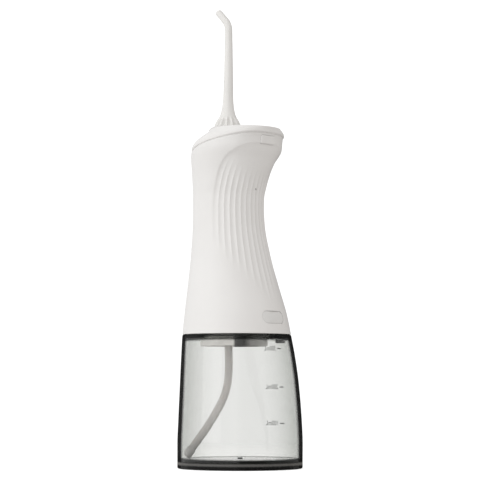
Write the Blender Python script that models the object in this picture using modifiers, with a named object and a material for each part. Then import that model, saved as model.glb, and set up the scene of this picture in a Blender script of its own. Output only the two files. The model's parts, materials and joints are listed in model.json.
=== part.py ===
"""Cordless water flosser: a handle with a pump, a jet nozzle and a clip-on water tank.

Metres, +Z up, origin in the middle of the base. The front (buttons) looks along -Y, and the
back (finger scoop, flutes, charge port and nozzle release) looks along +Y.
"""
import math

import bmesh
import bpy
from mathutils import Matrix, Vector

# ---------------------------------------------------------------- driving dimensions
GAP = 0.0003                # clearance left between pieces that touch
SKIN = 0.0020               # housing wall

# Side view of the body: height, front edge and back edge. Every section is a circle.
BODY_FRONT = ((0.0, -0.0405), (0.0160, -0.0405), (0.0295, -0.0400), (0.0545, -0.0391),
              (0.0700, -0.0387), (0.0853, -0.0383), (0.0990, -0.0373), (0.1185, -0.0358),
              (0.1380, -0.0344), (0.1577, -0.03375), (0.1754, -0.03365), (0.1990, -0.0336),
              (0.2069, -0.0325), (0.2180, -0.0303))
BODY_BACK = ((0.0, 0.0405), (0.0160, 0.0406), (0.0295, 0.0401), (0.0545, 0.0380),
             (0.0700, 0.0357), (0.0853, 0.0326), (0.0990, 0.0296), (0.1185, 0.0234),
             (0.1380, 0.0176), (0.1577, 0.0135), (0.1675, 0.0129), (0.1754, 0.0132),
             (0.1833, 0.0152), (0.1911, 0.0181), (0.1990, 0.0223), (0.2069, 0.0267),
             (0.2130, 0.0276), (0.2180, 0.0298))

TANK_TOP = 0.0859           # parting plane of tank and handle
TANK_WALL = 0.0030
TANK_FLOOR = 0.0060         # inside of the tank's floor
TANK_CORNER = 0.0010        # corner between that floor and the wall
DECK = 0.0030               # thickness of the tank's top
BASE_PAD_TOP = 0.0037
MOUTH_Y = -0.0054
COLLAR_R = 0.0220
COLLAR_BOTTOM = 0.0785
FITTING_Z = (0.0799, 0.0934)
MOUTH_R = 0.0226

HANDLE_BOTTOM = TANK_TOP + GAP
SEAM_Z = 0.2107             # seam under the head cap, at y = 0
SEAM_SLOPE = 0.196          # rise of the seam towards the back
RIM_START = 0.2030          # below this the housing's rings are level
CAP_TOP = 0.2198
CAP_TOP_R = 0.0235
CAP_TOP_Y = 0.0040
CAP_FALL = 0.0015           # how much lower the top's outline is at the front
CAP_SHOULDER = ((0.0, 0.0), (0.0, 0.48), (0.80, 0.72), (1.0, 1.0))

FLUTES = 16
FLUTE_DEPTH = 0.0005
ARCH = ((0.088, 72.0), (0.168, 72.0), (0.178, 70.8), (0.186, 68.4), (0.192, 65.6),
        (0.197, 62.0), (0.201, 57.0), (0.205, 47.5), (0.208, 36.0), (0.2095, 17.0), (0.218, 17.0))
BROW_FLAT = 0.0026          # how far the head is flattened behind the release button
BROW_HALF = 50.0            # half width of that flat, in degrees about the body

NOZZLE_Y = -0.0103
DIAL_R = 0.0130
DIAL_TOP = 0.2230
DIAL_HOLE_R = 0.0068
DIAL_SEAT_R = 0.0124
STEM_R = 0.0037
STEM_BOTTOM = 0.2030
STEM_GROOVE = (0.2052, 0.2074)
STEM_GROOVE_R = 0.0028
BEND_START = 0.2873
BEND_ANGLE = 45.0
BEND_RADIUS = 0.0100
TIP_STRAIGHT = 0.0092
NOZZLE_FLUTES = 8
NOZZLE_PROFILE = ((0.22335, 0.0090), (0.2240, 0.0091), (0.2256, 0.0083), (0.2276, 0.0072),
                  (0.2295, 0.0058), (0.2315, 0.0049), (0.2355, 0.0040), (0.2394, 0.0035),
                  (0.2430, 0.0033), (0.2510, 0.0031), (0.2590, 0.0029), (0.2750, 0.00265),
                  (0.2830, 0.0025), (0.2873, 0.00245))

RELEASE_Z = 0.2114
RELEASE_SIZE = (0.0131, 0.0056)
RELEASE_TRAVEL = 0.0018
PORT_Z = 0.09675
PORT_SIZE = (0.0196, 0.0079)
PORT_HINGE = (-0.0100, 0.0297)
CHARGE_LIGHT_Z = 0.1802
CHARGE_LIGHT_R = 0.0006

POWER_Z = 0.1780
MODE_Z = 0.1580
BUTTON_R = 0.0060
LENS_Z = (0.1300, 0.1340, 0.1380, 0.1420, 0.1460)
LENS_R = 0.0010
BOARD_Y = -0.0252           # back face of the circuit board
BOARD_THICK = 0.0016

BATTERY_R = 0.0091
BATTERY_Y = 0.0005
BATTERY_Z = (0.1330, 0.1980)
SHELF_Z = (0.1295, 0.1325)
SPINE_Y = (-0.0130, -0.0110)
SPINE_TOP = 0.2003

MOTOR_Y = 0.0070
MOTOR_R = 0.0100
MOTOR_Z = (0.0912, 0.1210)
BRACKET_Z = (0.1213, 0.1230)
CRANK_Y = -0.0090
GEAR_MODULE = 0.0008
CRANK_TEETH = 30
PINION_TEETH = 10
GEAR_Z = (0.1240, 0.1275)
AXLE_R = 0.0015
CRANK_THROW = 0.0032
CRANK_PIN_R = 0.0010
PUMP_Z = 0.1160             # height of the pump's axis, which runs along X
ROD_Z = (0.1170, 0.1187)
ROD_LENGTH = 0.0130
PUMP_BORE_R = 0.0042
PUMP_R = 0.0056
PUMP_X = (0.0125, 0.0255)
PORT_X = 0.0220
PORT_BORE_R = 0.0018
PORT_TUBE_R = 0.0030

HOSE_R = 0.0026
HOSE_ROUTE = ((0.0, -0.0102, 0.0796), (0.0, -0.0102, 0.0740), (0.0, -0.0100, 0.0675),
              (0.0003, -0.0103, 0.0576), (0.0015, -0.0111, 0.0500), (0.0038, -0.0124, 0.0430),
              (0.0072, -0.0144, 0.0360), (0.0112, -0.0166, 0.0288), (0.0151, -0.0192, 0.0221),
              (0.0187, -0.0218, 0.0162), (0.0209, -0.0235, 0.0125))
FILTER_R = 0.0033
FILTER_LENGTH = 0.0060

BREATHER = (-0.0200, 0.0176)
BREATHER_R = 0.0034
COVER_SCREW_R = 0.0291
COVER_CENTRE_Y = -0.0032

# name: colour, roughness, metallic
FINISHES = {
    "white_shell": ((0.86, 0.85, 0.83), 0.38, 0.0),
    "white_gloss": ((0.84, 0.83, 0.81), 0.25, 0.0),
    "smoke_clear": ((0.45, 0.46, 0.45), 0.08, 0.0),
    "grey_plastic": ((0.32, 0.31, 0.30), 0.45, 0.0),
    "dark_plastic": ((0.05, 0.05, 0.05), 0.50, 0.0),
    "soft_rubber": ((0.30, 0.30, 0.29), 0.70, 0.0),
    "white_rubber": ((0.80, 0.79, 0.77), 0.60, 0.0),
    "hose_silicone": ((0.55, 0.54, 0.52), 0.40, 0.0),
    "steel": ((0.60, 0.60, 0.61), 0.30, 1.0),
    "brass": ((0.65, 0.50, 0.25), 0.30, 1.0),
    "acetal": ((0.75, 0.74, 0.70), 0.45, 0.0),
    "board_green": ((0.04, 0.18, 0.08), 0.45, 0.0),
    "battery_wrap": ((0.08, 0.20, 0.35), 0.40, 0.0),
    "lens": ((0.80, 0.86, 0.90), 0.15, 0.0),
}


# ---------------------------------------------------------------- scene helpers
def clear_scene():
    for old in list(bpy.data.objects):
        bpy.data.objects.remove(old, do_unlink=True)


def new_collection(name):
    made = bpy.data.collections.new(name)
    bpy.context.scene.collection.children.link(made)
    return made


def finish_material(name):
    colour, roughness, metallic = FINISHES[name]
    made = bpy.data.materials.get(name) or bpy.data.materials.new(name)
    made.use_nodes = True
    shader = made.node_tree.nodes["Principled BSDF"]
    shader.inputs["Base Color"].default_value = (*colour, 1.0)
    shader.inputs["Roughness"].default_value = roughness
    shader.inputs["Metallic"].default_value = metallic
    made.diffuse_color = (*colour, 1.0)
    return made


def place(made, finish=None, location=(0, 0, 0), cutter=False):
    """Put an object in its collection, give it a finish and set its origin's place."""
    for owner in list(made.users_collection):
        owner.objects.unlink(made)
    (CUTTERS if cutter else PARTS).objects.link(made)
    made.location = location
    if cutter:
        made.hide_render = True
        made.display_type = "WIRE"
    if finish:
        made.data.materials.clear()
        made.data.materials.append(finish_material(finish))
    return made


def object_from(name, bm, finish=None, location=(0, 0, 0), cutter=False, sharp=35.0):
    bmesh.ops.recalc_face_normals(bm, faces=bm.faces)
    mesh = bpy.data.meshes.new(name)
    bm.to_mesh(mesh)
    bm.free()
    mesh.shade_smooth()
    mesh.set_sharp_from_angle(angle=math.radians(sharp))
    return place(bpy.data.objects.new(name, mesh), finish, location, cutter)


def block(name, low, high, finish=None, bevel=0.0, origin=(0, 0, 0), cutter=False):
    """A box between two corners, with its edges rounded by bevel."""
    bm = bmesh.new()
    bmesh.ops.create_cube(bm, size=1.0)
    size = Vector(high) - Vector(low)
    middle = (Vector(high) + Vector(low)) / 2 - Vector(origin)
    bmesh.ops.scale(bm, vec=size, verts=bm.verts)
    bmesh.ops.translate(bm, vec=middle, verts=bm.verts)
    made = object_from(name, bm, finish, origin, cutter)
    if bevel:
        rounding = made.modifiers.new("round", "BEVEL")
        rounding.width = bevel
        rounding.segments = 2
        rounding.limit_method = "ANGLE"
    return made


def drum(name, radius, start, end, finish=None, sides=20, origin=None, cutter=False):
    """A cylinder from one point to another."""
    start = Vector(start)
    end = Vector(end)
    origin = Vector(origin) if origin else start
    bm = bmesh.new()
    length = (end - start).length
    bmesh.ops.create_cone(bm, cap_ends=True, segments=sides, radius1=radius, radius2=radius,
                          depth=length)
    turn = (end - start).to_track_quat("Z", "Y").to_matrix().to_4x4()
    middle = (start + end) / 2 - origin
    bmesh.ops.transform(bm, matrix=Matrix.Translation(middle) @ turn, verts=bm.verts)
    return object_from(name, bm, finish, origin, cutter)


def turned(name, outline, finish=None, location=(0, 0, 0), steps=32, ring=False, cutter=False,
           along=None):
    """Turn an outline of (radius, height) pairs, which runs down its outer side."""
    mesh = bpy.data.meshes.new(name)
    count = len(outline)
    edges = [(i, i + 1) for i in range(count - 1)]
    if ring:
        edges.append((count - 1, 0))
    mesh.from_pydata([(r, 0.0, z) for r, z in outline], edges, [])
    made = place(bpy.data.objects.new(name, mesh), finish, location, cutter)
    if along:
        made.rotation_mode = "QUATERNION"
        made.rotation_quaternion = Vector(along).to_track_quat("Z", "Y")
    screw = made.modifiers.new("turn", "SCREW")
    screw.steps = steps
    screw.render_steps = steps
    screw.use_merge_vertices = True
    screw.merge_threshold = 0.00001
    screw.use_smooth_shade = True
    return made


def tube(name, points, radius, finish, rounding=2):
    """A round tube through the given points."""
    curve = bpy.data.curves.new(name, "CURVE")
    curve.dimensions = "3D"
    curve.bevel_depth = radius
    curve.bevel_resolution = rounding
    curve.use_fill_caps = True
    spline = curve.splines.new("POLY")
    spline.points.add(len(points) - 1)
    for point, place_at in zip(spline.points, points):
        point.co = (*place_at, 1.0)
    return place(bpy.data.objects.new(name, curve), finish)


def cut(target, cutter, operation="DIFFERENCE"):
    """Apply a cutter to a part, or join a shape to it."""
    cutter_collection = cutter.users_collection[0]
    if cutter_collection != CUTTERS:
        place(cutter, cutter=True, location=cutter.location)
    step = target.modifiers.new(f"{operation.lower()}_{cutter.name}"[:60], "BOOLEAN")
    step.operation = operation
    step.object = cutter
    return target


def own(child, parent):
    """Parent one object to another without moving it."""
    child.parent = parent
    child.matrix_parent_inverse = Matrix.Translation(-Vector(parent.location))


# ---------------------------------------------------------------- curves and formulas
def along_curve(stations, at):
    """Value of a smooth curve through (position, value) stations."""
    if at <= stations[0][0]:
        return stations[0][1]
    if at >= stations[-1][0]:
        return stations[-1][1]
    k = max(i for i in range(len(stations) - 1) if stations[i][0] <= at)
    (x0, y0), (x1, y1) = stations[k], stations[k + 1]

    def slope(i):
        if i in (0, len(stations) - 1):
            return 0.0
        (xa, ya), (xb, yb), (xc, yc) = stations[i - 1:i + 2]
        left = (yb - ya) / (xb - xa)
        right = (yc - yb) / (xc - xb)
        return 0.0 if left * right <= 0 else 2 * left * right / (left + right)

    width = x1 - x0
    t = (at - x0) / width
    return ((2 * t ** 3 - 3 * t ** 2 + 1) * y0 + (t ** 3 - 2 * t ** 2 + t) * width * slope(k)
            + (3 * t ** 2 - 2 * t ** 3) * y1 + (t ** 3 - t ** 2) * width * slope(k + 1))


def through(points, count):
    """A list of count points on a smooth curve through the given points."""
    points = [Vector(p) for p in points]
    ends = [2 * points[0] - points[1]] + points + [2 * points[-1] - points[-2]]
    made = []
    for i in range(count):
        place_on = (len(points) - 1) * i / (count - 1)
        k = min(int(place_on), len(points) - 2)
        t = place_on - k
        a, b, c, d = ends[k:k + 4]
        made.append(0.5 * (2 * b + (c - a) * t + (2 * a - 5 * b + 4 * c - d) * t ** 2
                           + (3 * b - a - 3 * c + d) * t ** 3))
    return made


def fade(low, high, at):
    t = min(max((at - low) / (high - low), 0.0), 1.0)
    return t * t * (3 - 2 * t)


def section(z):
    """Radius and middle of the body at one height."""
    front = along_curve(BODY_FRONT, z)
    back = along_curve(BODY_BACK, z)
    return (back - front) / 2, (back + front) / 2


def body_point(z, angle, inset=0.0):
    """A point of the body's skin; the angle is in degrees from the back, towards +X."""
    radius, middle = section(z)
    if abs(angle) < BROW_HALF:
        wave = math.cos(math.radians(90 * angle / BROW_HALF)) ** 2
        radius -= BROW_FLAT * wave * fade(0.190, 0.205, z)
    radius -= inset
    turn = math.radians(angle)
    return Vector((radius * math.sin(turn), middle + radius * math.cos(turn), z))


def seam_height(y):
    return SEAM_Z + SEAM_SLOPE * y


def seam_point(angle, inset=0.0, drop=0.0):
    """Where the skin meets the tilted seam under the head cap."""
    z = SEAM_Z
    for _ in range(6):
        point = body_point(z, angle, inset)
        z = seam_height(point.y) - drop
    return Vector((point.x, point.y, z))


def flute_dip(z, u):
    """Depth of the flutes: u runs from -1 to 1 across the scoop."""
    edge = abs(u)
    bottom = 0.110 + 0.037 * edge
    return FLUTE_DEPTH * fade(bottom, bottom + 0.012, z) * (1 - fade(0.194, 0.203, z))


def loft(bm, rings, cap_first=False, cap_last=False, close=False):
    """Skin rings of equal length, in order."""
    rows = [[bm.verts.new(p) for p in ring] for ring in rings]
    pairs = list(zip(rows, rows[1:]))
    if close:
        pairs.append((rows[-1], rows[0]))
    for one, two in pairs:
        for i in range(len(one)):
            j = (i + 1) % len(one)
            bm.faces.new((one[i], one[j], two[j], two[i]))
    if cap_first:
        bm.faces.new(rows[0])
    if cap_last:
        bm.faces.new(rows[-1])


def ring_at(radius, middle_y, z, count, middle_x=0.0):
    return [Vector((middle_x + radius * math.sin(2 * math.pi * i / count),
                    middle_y + radius * math.cos(2 * math.pi * i / count), z))
            for i in range(count)]


# ---------------------------------------------------------------- tank
def make_tank():
    count = 40

    def body_ring(z, inset=0.0):
        radius, middle = section(z)
        return ring_at(radius - inset, middle, z, count)

    foot_inner = 0.0350
    rings = [ring_at(foot_inner, 0.0, BASE_PAD_TOP + GAP, count),
             ring_at(foot_inner, 0.0, 0.0, count),
             body_ring(0.0, inset=0.0010)]
    rings += [body_ring(z) for z in (0.0010, 0.0160, 0.0295, 0.0420, 0.0545, 0.0700, 0.0800)]
    rings += [body_ring(TANK_TOP),
              ring_at(MOUTH_R, MOUTH_Y, TANK_TOP, count),
              ring_at(MOUTH_R, MOUTH_Y, TANK_TOP - DECK, count),
              body_ring(TANK_TOP - DECK, inset=TANK_WALL)]
    rings += [body_ring(z, inset=TANK_WALL)
              for z in (0.0700, 0.0545, 0.0420, 0.0295, 0.0160, TANK_FLOOR + TANK_CORNER)]
    rings += [body_ring(TANK_FLOOR, inset=TANK_WALL + TANK_CORNER)]
    bm = bmesh.new()
    loft(bm, rings, cap_first=True, cap_last=True)
    tank = object_from("tank_shell", bm, "smoke_clear")
    hole = drum("breather_hole", 0.0022, (*BREATHER, 0.080), (*BREATHER, 0.092), sides=16,
                cutter=True)
    cut(tank, hole)
    turned("tank_base", ((0.0, BASE_PAD_TOP), (0.0340, BASE_PAD_TOP), (0.0345, BASE_PAD_TOP - 0.0005),
                         (0.0345, 0.0005), (0.0340, 0.0), (0.0, 0.0)), "soft_rubber", steps=40)
    stem_r = 0.0019
    turned("breather_valve", ((0.0, 0.0051), (stem_r, 0.0051), (stem_r, 0.0020),
                              (BREATHER_R, 0.0020), (BREATHER_R, 0.0), (0.0, 0.0)),
           "dark_plastic", (*BREATHER, TANK_TOP - DECK - GAP - 0.0020), steps=20)


# ---------------------------------------------------------------- handle shell
def scoop_angles(z):
    """Angles of the skin's columns: two for each flute, then wide steps round the front."""
    half = along_curve(ARCH, z)
    inside = [-half + half * i / FLUTES for i in range(2 * FLUTES + 1)]
    steps = 20
    outside = [half + (360 - 2 * half) * i / steps for i in range(1, steps)]
    return inside + outside


def outer_ring(z):
    ring = []
    for i, angle in enumerate(scoop_angles(z)):
        wrapped = angle if angle <= 180 else angle - 360
        dip = 0.0
        if i < 2 * FLUTES and i % 2 == 1:
            dip = flute_dip(z, i / FLUTES - 1)
        ring.append(body_point(z, wrapped, dip))
    return ring


def rim_ring(part, inset=0.0):
    """A ring between the last level one and the seam: part runs from 0 to 1."""
    ring = []
    for angle in scoop_angles(RIM_START + 0.006 * part):
        wrapped = angle if angle <= 180 else angle - 360
        top = seam_point(wrapped, inset, GAP / 2)
        z = RIM_START + (top.z - RIM_START) * part
        ring.append(body_point(z, wrapped, inset))
    return ring


def make_housing():
    levels = [HANDLE_BOTTOM, 0.099, 0.110, 0.121, 0.132, 0.143, 0.154, 0.165, 0.175, 0.183,
              0.190, 0.197, RIM_START]
    inner_levels = [0.192, 0.182, 0.168, 0.148, 0.128, 0.108, HANDLE_BOTTOM]
    rings = [outer_ring(z) for z in levels]
    rings += [rim_ring(part) for part in (0.5, 1.0)]
    rings += [rim_ring(part, SKIN) for part in (1.0, 0.0)]
    for z in inner_levels:
        angles = [a if a <= 180 else a - 360 for a in scoop_angles(z)]
        rings.append([body_point(z, a, SKIN) for a in angles])
    bm = bmesh.new()
    loft(bm, rings, close=True)
    shell = object_from("main_housing", bm, "white_shell")
    for number, (x, y) in enumerate(screw_places(), 1):
        post = turned(f"boss_{number}", ((0.0030, 0.0125), (0.0030, 0.0), (0.0015, 0.0),
                                         (0.0015, 0.0125)),
                      location=(x, y, 0.0910), steps=16, ring=True, cutter=True)
        cut(shell, post, "UNION")
    front = -0.040
    for name, z in (("power_hole", POWER_Z), ("mode_hole", MODE_Z)):
        cut(shell, drum(name, BUTTON_R + GAP, (0, front, z), (0, -0.028, z), sides=24,
                        cutter=True))
    for number, z in enumerate(LENS_Z, 1):
        cut(shell, drum(f"lens_hole_{number}", LENS_R + GAP, (0, front, z), (0, -0.028, z),
                        sides=12, cutter=True))
    cut(shell, drum("charge_light_hole", CHARGE_LIGHT_R + GAP, (0, 0.010, CHARGE_LIGHT_Z),
                    (0, 0.020, CHARGE_LIGHT_Z), sides=12, cutter=True))
    cut(shell, stadium("port_hole", PORT_SIZE, GAP, 0.020, 0.036, PORT_Z, cutter=True))
    width, height = RELEASE_SIZE
    cut(shell, block("release_hole", (-width / 2 - GAP, 0.018, RELEASE_Z - height / 2 - GAP),
                     (width / 2 + GAP, 0.034, RELEASE_Z + height / 2 + GAP), cutter=True))
    return shell


def stadium(name, size, grow, y_low, y_high, z, finish=None, cutter=False, origin=(0, 0, 0)):
    """A bar with round ends, drawn in the XZ plane and extruded along Y."""
    half = size[0] / 2 - size[1] / 2
    radius = size[1] / 2 + grow
    outline = []
    for side in (1, -1):
        for i in range(9):
            turn = math.radians(-90 + 180 * i / 8)
            outline.append((side * (half + radius * math.cos(turn)),
                            z + side * radius * math.sin(turn)))
    bm = bmesh.new()
    rings = [[Vector((x, y, up)) - Vector(origin) for x, up in outline]
             for y in (y_low, y_high)]
    loft(bm, rings, cap_first=True, cap_last=True)
    return object_from(name, bm, finish, origin, cutter)


def body_solid(name, inset, low, high):
    """The body's plain form between two heights, for trimming a piece to its surface."""
    bm = bmesh.new()
    levels = [low + (high - low) * i / 6 for i in range(7)]
    rings = [[body_point(z, 5.0 * i if i <= 36 else 5.0 * i - 360, inset)
              for i in range(72)] for z in levels]
    loft(bm, rings, cap_first=True, cap_last=True)
    return object_from(name, bm, cutter=True)


def screw_places():
    return [(COVER_SCREW_R * math.sin(math.radians(turn)),
             COVER_CENTRE_Y + COVER_SCREW_R * math.cos(math.radians(turn)))
            for turn in (50, 130, 230, 310)]


def make_cap():
    """Tilted at its seam and flat on top, with a wide shoulder at the front."""
    count = 40
    angles = [360 * i / count for i in range(count)]
    angles = [a if a <= 180 else a - 360 for a in angles]

    def shoulder(part, inset):
        (x0, z0), (x1, z1), (x2, z2), (x3, z3) = CAP_SHOULDER
        weights = ((1 - part) ** 3, 3 * (1 - part) ** 2 * part, 3 * (1 - part) * part ** 2,
                   part ** 3)
        inward = sum(w * x for w, x in zip(weights, (x0, x1, x2, x3)))
        upward = sum(w * z for w, z in zip(weights, (z0, z1, z2, z3)))
        ring = []
        for angle in angles:
            low = seam_point(angle, inset, -GAP / 2)
            turn = math.radians(angle)
            radius = CAP_TOP_R - inset
            high = Vector((radius * math.sin(turn), CAP_TOP_Y + radius * math.cos(turn),
                           CAP_TOP - inset))
            high.z -= CAP_FALL * (1 - fade(-0.018, 0.010, high.y))
            high.z = max(high.z, low.z + 0.0001)
            point = low.lerp(high, inward)
            point.z = low.z + (high.z - low.z) * upward
            ring.append(point)
        return ring

    wall = 0.0018
    parts = (0.0, 0.25, 0.5, 0.75, 1.0)
    rings = [shoulder(part, 0.0) for part in parts]
    rings += [ring_at(DIAL_HOLE_R, NOZZLE_Y, CAP_TOP, count),
              ring_at(DIAL_HOLE_R, NOZZLE_Y, CAP_TOP - wall, count)]
    rings += [shoulder(part, wall) for part in (1.0, 0.5, 0.0)]
    bm = bmesh.new()
    loft(bm, rings, close=True)
    cap = object_from("head_cap", bm, "white_shell")
    seat = turned("dial_seat", ((DIAL_SEAT_R, CAP_TOP), (DIAL_SEAT_R, CAP_TOP - 0.0035),
                                (DIAL_HOLE_R, CAP_TOP - 0.0035), (DIAL_HOLE_R, CAP_TOP)),
                  location=(0, NOZZLE_Y, 0), steps=36, ring=True, cutter=True)
    cut(cap, seat, "UNION")


# ---------------------------------------------------------------- nozzle end
def nozzle_path():
    """Centre points, directions and radii of the nozzle above its foot."""
    stations = []
    for z in (0.22335, 0.2240, 0.2256, 0.2276, 0.2295, 0.2315, 0.2355, 0.2394, 0.2510,
              0.2700, 0.2830, BEND_START):
        stations.append((Vector((0, 0, z)), 0.0, along_curve(NOZZLE_PROFILE, z)))
    steps = 6
    for i in range(1, steps + 1):
        turn = math.radians(BEND_ANGLE * i / steps)
        centre = Vector((0, -BEND_RADIUS * (1 - math.cos(turn)),
                         BEND_START + BEND_RADIUS * math.sin(turn)))
        stations.append((centre, turn, 0.00245 - 0.0001 * i / steps))
    end, turn, radius = stations[-1]
    ahead = Vector((0, -math.sin(turn), math.cos(turn)))
    stations.append((end + ahead * TIP_STRAIGHT, turn, 0.0022))
    return stations


def make_nozzle():
    count = 16
    foot = NOZZLE_PROFILE[0][0]

    def tilted_ring(centre, turn, radius, dip=0.0):
        ring = []
        for i in range(count):
            round_at = 2 * math.pi * i / count
            r = radius * (1 - dip * (0.5 - 0.5 * math.cos(NOZZLE_FLUTES * round_at)))
            side = Vector((r * math.sin(round_at), r * math.cos(round_at), 0))
            ring.append(centre + Matrix.Rotation(turn, 3, "X") @ side)
        return ring

    path = nozzle_path()
    stem = ((STEM_BOTTOM, 0.0034), (STEM_BOTTOM + 0.0004, STEM_R), (STEM_GROOVE[0], STEM_R),
            (STEM_GROOVE[0], STEM_GROOVE_R), (STEM_GROOVE[1], STEM_GROOVE_R),
            (STEM_GROOVE[1], STEM_R), (foot, STEM_R))
    rings = [tilted_ring(Vector((0, 0, z)), 0.0, r) for z, r in stem]
    for centre, turn, radius in path:
        dip = 0.10 * (1 - fade(0.2290, 0.2320, centre.z)) * fade(foot, 0.2245, centre.z)
        rings.append(tilted_ring(centre, turn, radius, dip))
    bore = 0.0009
    for centre, turn, _ in (path[-1], path[-2], path[-5], path[-8], path[-10]):
        rings.append(tilted_ring(centre, turn, bore))
    rings.append(tilted_ring(Vector((0, 0, 0.2150)), 0.0, bore))
    rings.append(tilted_ring(Vector((0, 0, STEM_BOTTOM)), 0.0, 0.0012))
    bm = bmesh.new()
    loft(bm, rings, close=True)
    nozzle = object_from("jet_nozzle", bm, "white_gloss", (0, NOZZLE_Y, 0))
    seal = turned("nozzle_oring", ring_outline(0.00345, 0.00045, 6), "soft_rubber",
                  (0, NOZZLE_Y, sum(STEM_GROOVE) / 2), steps=24, ring=True)
    own(seal, nozzle)
    return nozzle


def ring_outline(major, minor, sides):
    """A round section for a seal ring, run down its outer side."""
    return [(major + minor * math.cos(-2 * math.pi * i / sides),
             minor * math.sin(-2 * math.pi * i / sides)) for i in range(sides)]


def make_head():
    low = CAP_TOP + GAP
    sleeve_low = 0.2134
    bore = STEM_R + GAP
    sleeve = DIAL_HOLE_R - GAP
    dial = turned("nozzle_dial", ((0.0090, DIAL_TOP), (0.0102, DIAL_TOP - 0.0004),
                                  (0.0122, DIAL_TOP - 0.0014), (DIAL_R, DIAL_TOP - 0.0026),
                                  (DIAL_R, low), (sleeve, low), (sleeve, sleeve_low),
                                  (bore, sleeve_low), (bore, DIAL_TOP)),
                  "white_gloss", (0, NOZZLE_Y, 0), steps=36, ring=True)
    own(make_nozzle(), dial)
    socket_low = SPINE_TOP + GAP
    socket = turned("nozzle_socket", ((0.0080, 0.2105), (0.0080, socket_low),
                                      (0.0016, socket_low), (0.0016, 0.2024),
                                      (0.0042, 0.2024), (0.0042, 0.2105)),
                    "grey_plastic", (0, NOZZLE_Y, 0), steps=24, ring=True)
    return socket


def make_release():
    width, height = RELEASE_SIZE
    low_y, high_y = 0.0198, 0.0300
    button = block("release_button", (-width / 2, low_y, RELEASE_Z - height / 2),
                   (width / 2, high_y, RELEASE_Z + height / 2), "white_shell")
    cut(button, body_solid("release_trim", -0.0004, 0.204, 0.2175), "INTERSECT")
    plate_low, plate_high = 0.2108, 0.2124
    latch = block("release_latch", (-0.0056, -0.0170, plate_low), (0.0056, low_y - GAP, plate_high),
                  "acetal")
    opening = block("latch_slot", (-0.0043, NOZZLE_Y - 0.0043, plate_low - 0.001),
                    (0.0043, NOZZLE_Y + 0.0043 + RELEASE_TRAVEL, plate_high + 0.001), cutter=True)
    cut(latch, opening)
    tab = block("latch_tab", (-0.0030, 0.0140, 0.2050), (0.0030, 0.0156, plate_high - 0.0004),
                cutter=True)
    cut(latch, tab, "UNION")
    own(latch, button)
    turns = 6
    start, end = -0.0019, 0.0137
    coil = []
    for i in range(turns * 8 + 1):
        part = i / (turns * 8)
        turn = 2 * math.pi * turns * part
        coil.append((0.0019 * math.sin(turn), start + 0.0003 + (end - start - 0.0006) * part,
                     0.2076 + 0.0019 * math.cos(turn)))
    tube("release_spring", coil, 0.00025, "steel")


# ---------------------------------------------------------------- buttons, lights and port
def make_controls():
    for name, z in (("power", POWER_Z), ("mode", MODE_Z)):
        face = body_point(z, 180.0).y
        back = -0.0304
        front = face - 0.0008
        turned(f"{name}_button",
               ((0.0, -front), (0.0032, -front - 0.00012), (BUTTON_R - 0.0006, -front - 0.0005),
                (BUTTON_R, -front - 0.0010), (BUTTON_R, -back), (0.0, -back)),
               "white_rubber", (0, 0, z), steps=28, along=(0, -1, 0))
        tip = BOARD_Y - BOARD_THICK - GAP
        switch = block(f"{name}_switch", (-0.0030, tip - 0.0012, z - 0.0030),
                       (0.0030, tip, z + 0.0030), "dark_plastic")
        stalk = drum(f"{name}_stalk", 0.0012, (0, tip - 0.0021, z), (0, tip - 0.0006, z),
                     sides=12, cutter=True)
        cut(switch, stalk, "UNION")
    for number, z in enumerate(LENS_Z, 1):
        face = body_point(z, 180.0).y
        drum(f"indicator_lens_{number}", LENS_R, (0, face - 0.0001, z),
             (0, BOARD_Y - BOARD_THICK - GAP, z), "lens", sides=12)
    surface = body_point(CHARGE_LIGHT_Z, 0.0).y
    drum("charge_light", CHARGE_LIGHT_R, (0, surface - 0.0003, CHARGE_LIGHT_Z),
         (0, surface - 0.0035, CHARGE_LIGHT_Z), "lens", sides=10)
    board = block("circuit_board", (-0.0110, BOARD_Y - BOARD_THICK, 0.1280),
                  (0.0110, BOARD_Y, 0.1970), "board_green")
    for number, (x, z) in enumerate(((-0.0085, 0.136), (0.0085, 0.136), (-0.0085, 0.190),
                                     (0.0085, 0.190)), 1):
        cut(board, drum(f"board_hole_{number}", 0.0012, (x, -0.030, z), (x, -0.022, z),
                        sides=10, cutter=True))


def make_port():
    cover = stadium("charge_port_cover", PORT_SIZE, 0.0, 0.020, 0.036, PORT_Z, "white_rubber",
                    origin=(*PORT_HINGE, PORT_Z))
    cut(cover, body_solid("cover_trim", 0.0001, 0.090, 0.104), "INTERSECT")
    cut(cover, body_solid("cover_hollow", 0.0019, 0.090, 0.104))
    socket = block("charge_socket", (-0.0055, 0.0176, PORT_Z - 0.0030),
                   (0.0055, 0.0262, PORT_Z + 0.0030), "dark_plastic")
    mouth = stadium("charge_mouth", (0.0086, 0.0028), 0.0, 0.0200, 0.0300, PORT_Z, cutter=True)
    cut(socket, mouth)


# ---------------------------------------------------------------- drive
def gear_outline(teeth):
    """Trapezoid teeth about a circle, with a tooth centred on the back (+Y)."""
    pitch = teeth * GEAR_MODULE / 2
    root = pitch - 1.2 * GEAR_MODULE
    tip = pitch + 0.85 * GEAR_MODULE
    step = 2 * math.pi / teeth
    points = []
    for k in range(teeth):
        for radius, part in ((root, -0.33), (tip, -0.13), (tip, 0.13), (root, 0.33)):
            turn = step * (k + part)
            points.append((radius * math.sin(turn), radius * math.cos(turn)))
    return points


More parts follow.
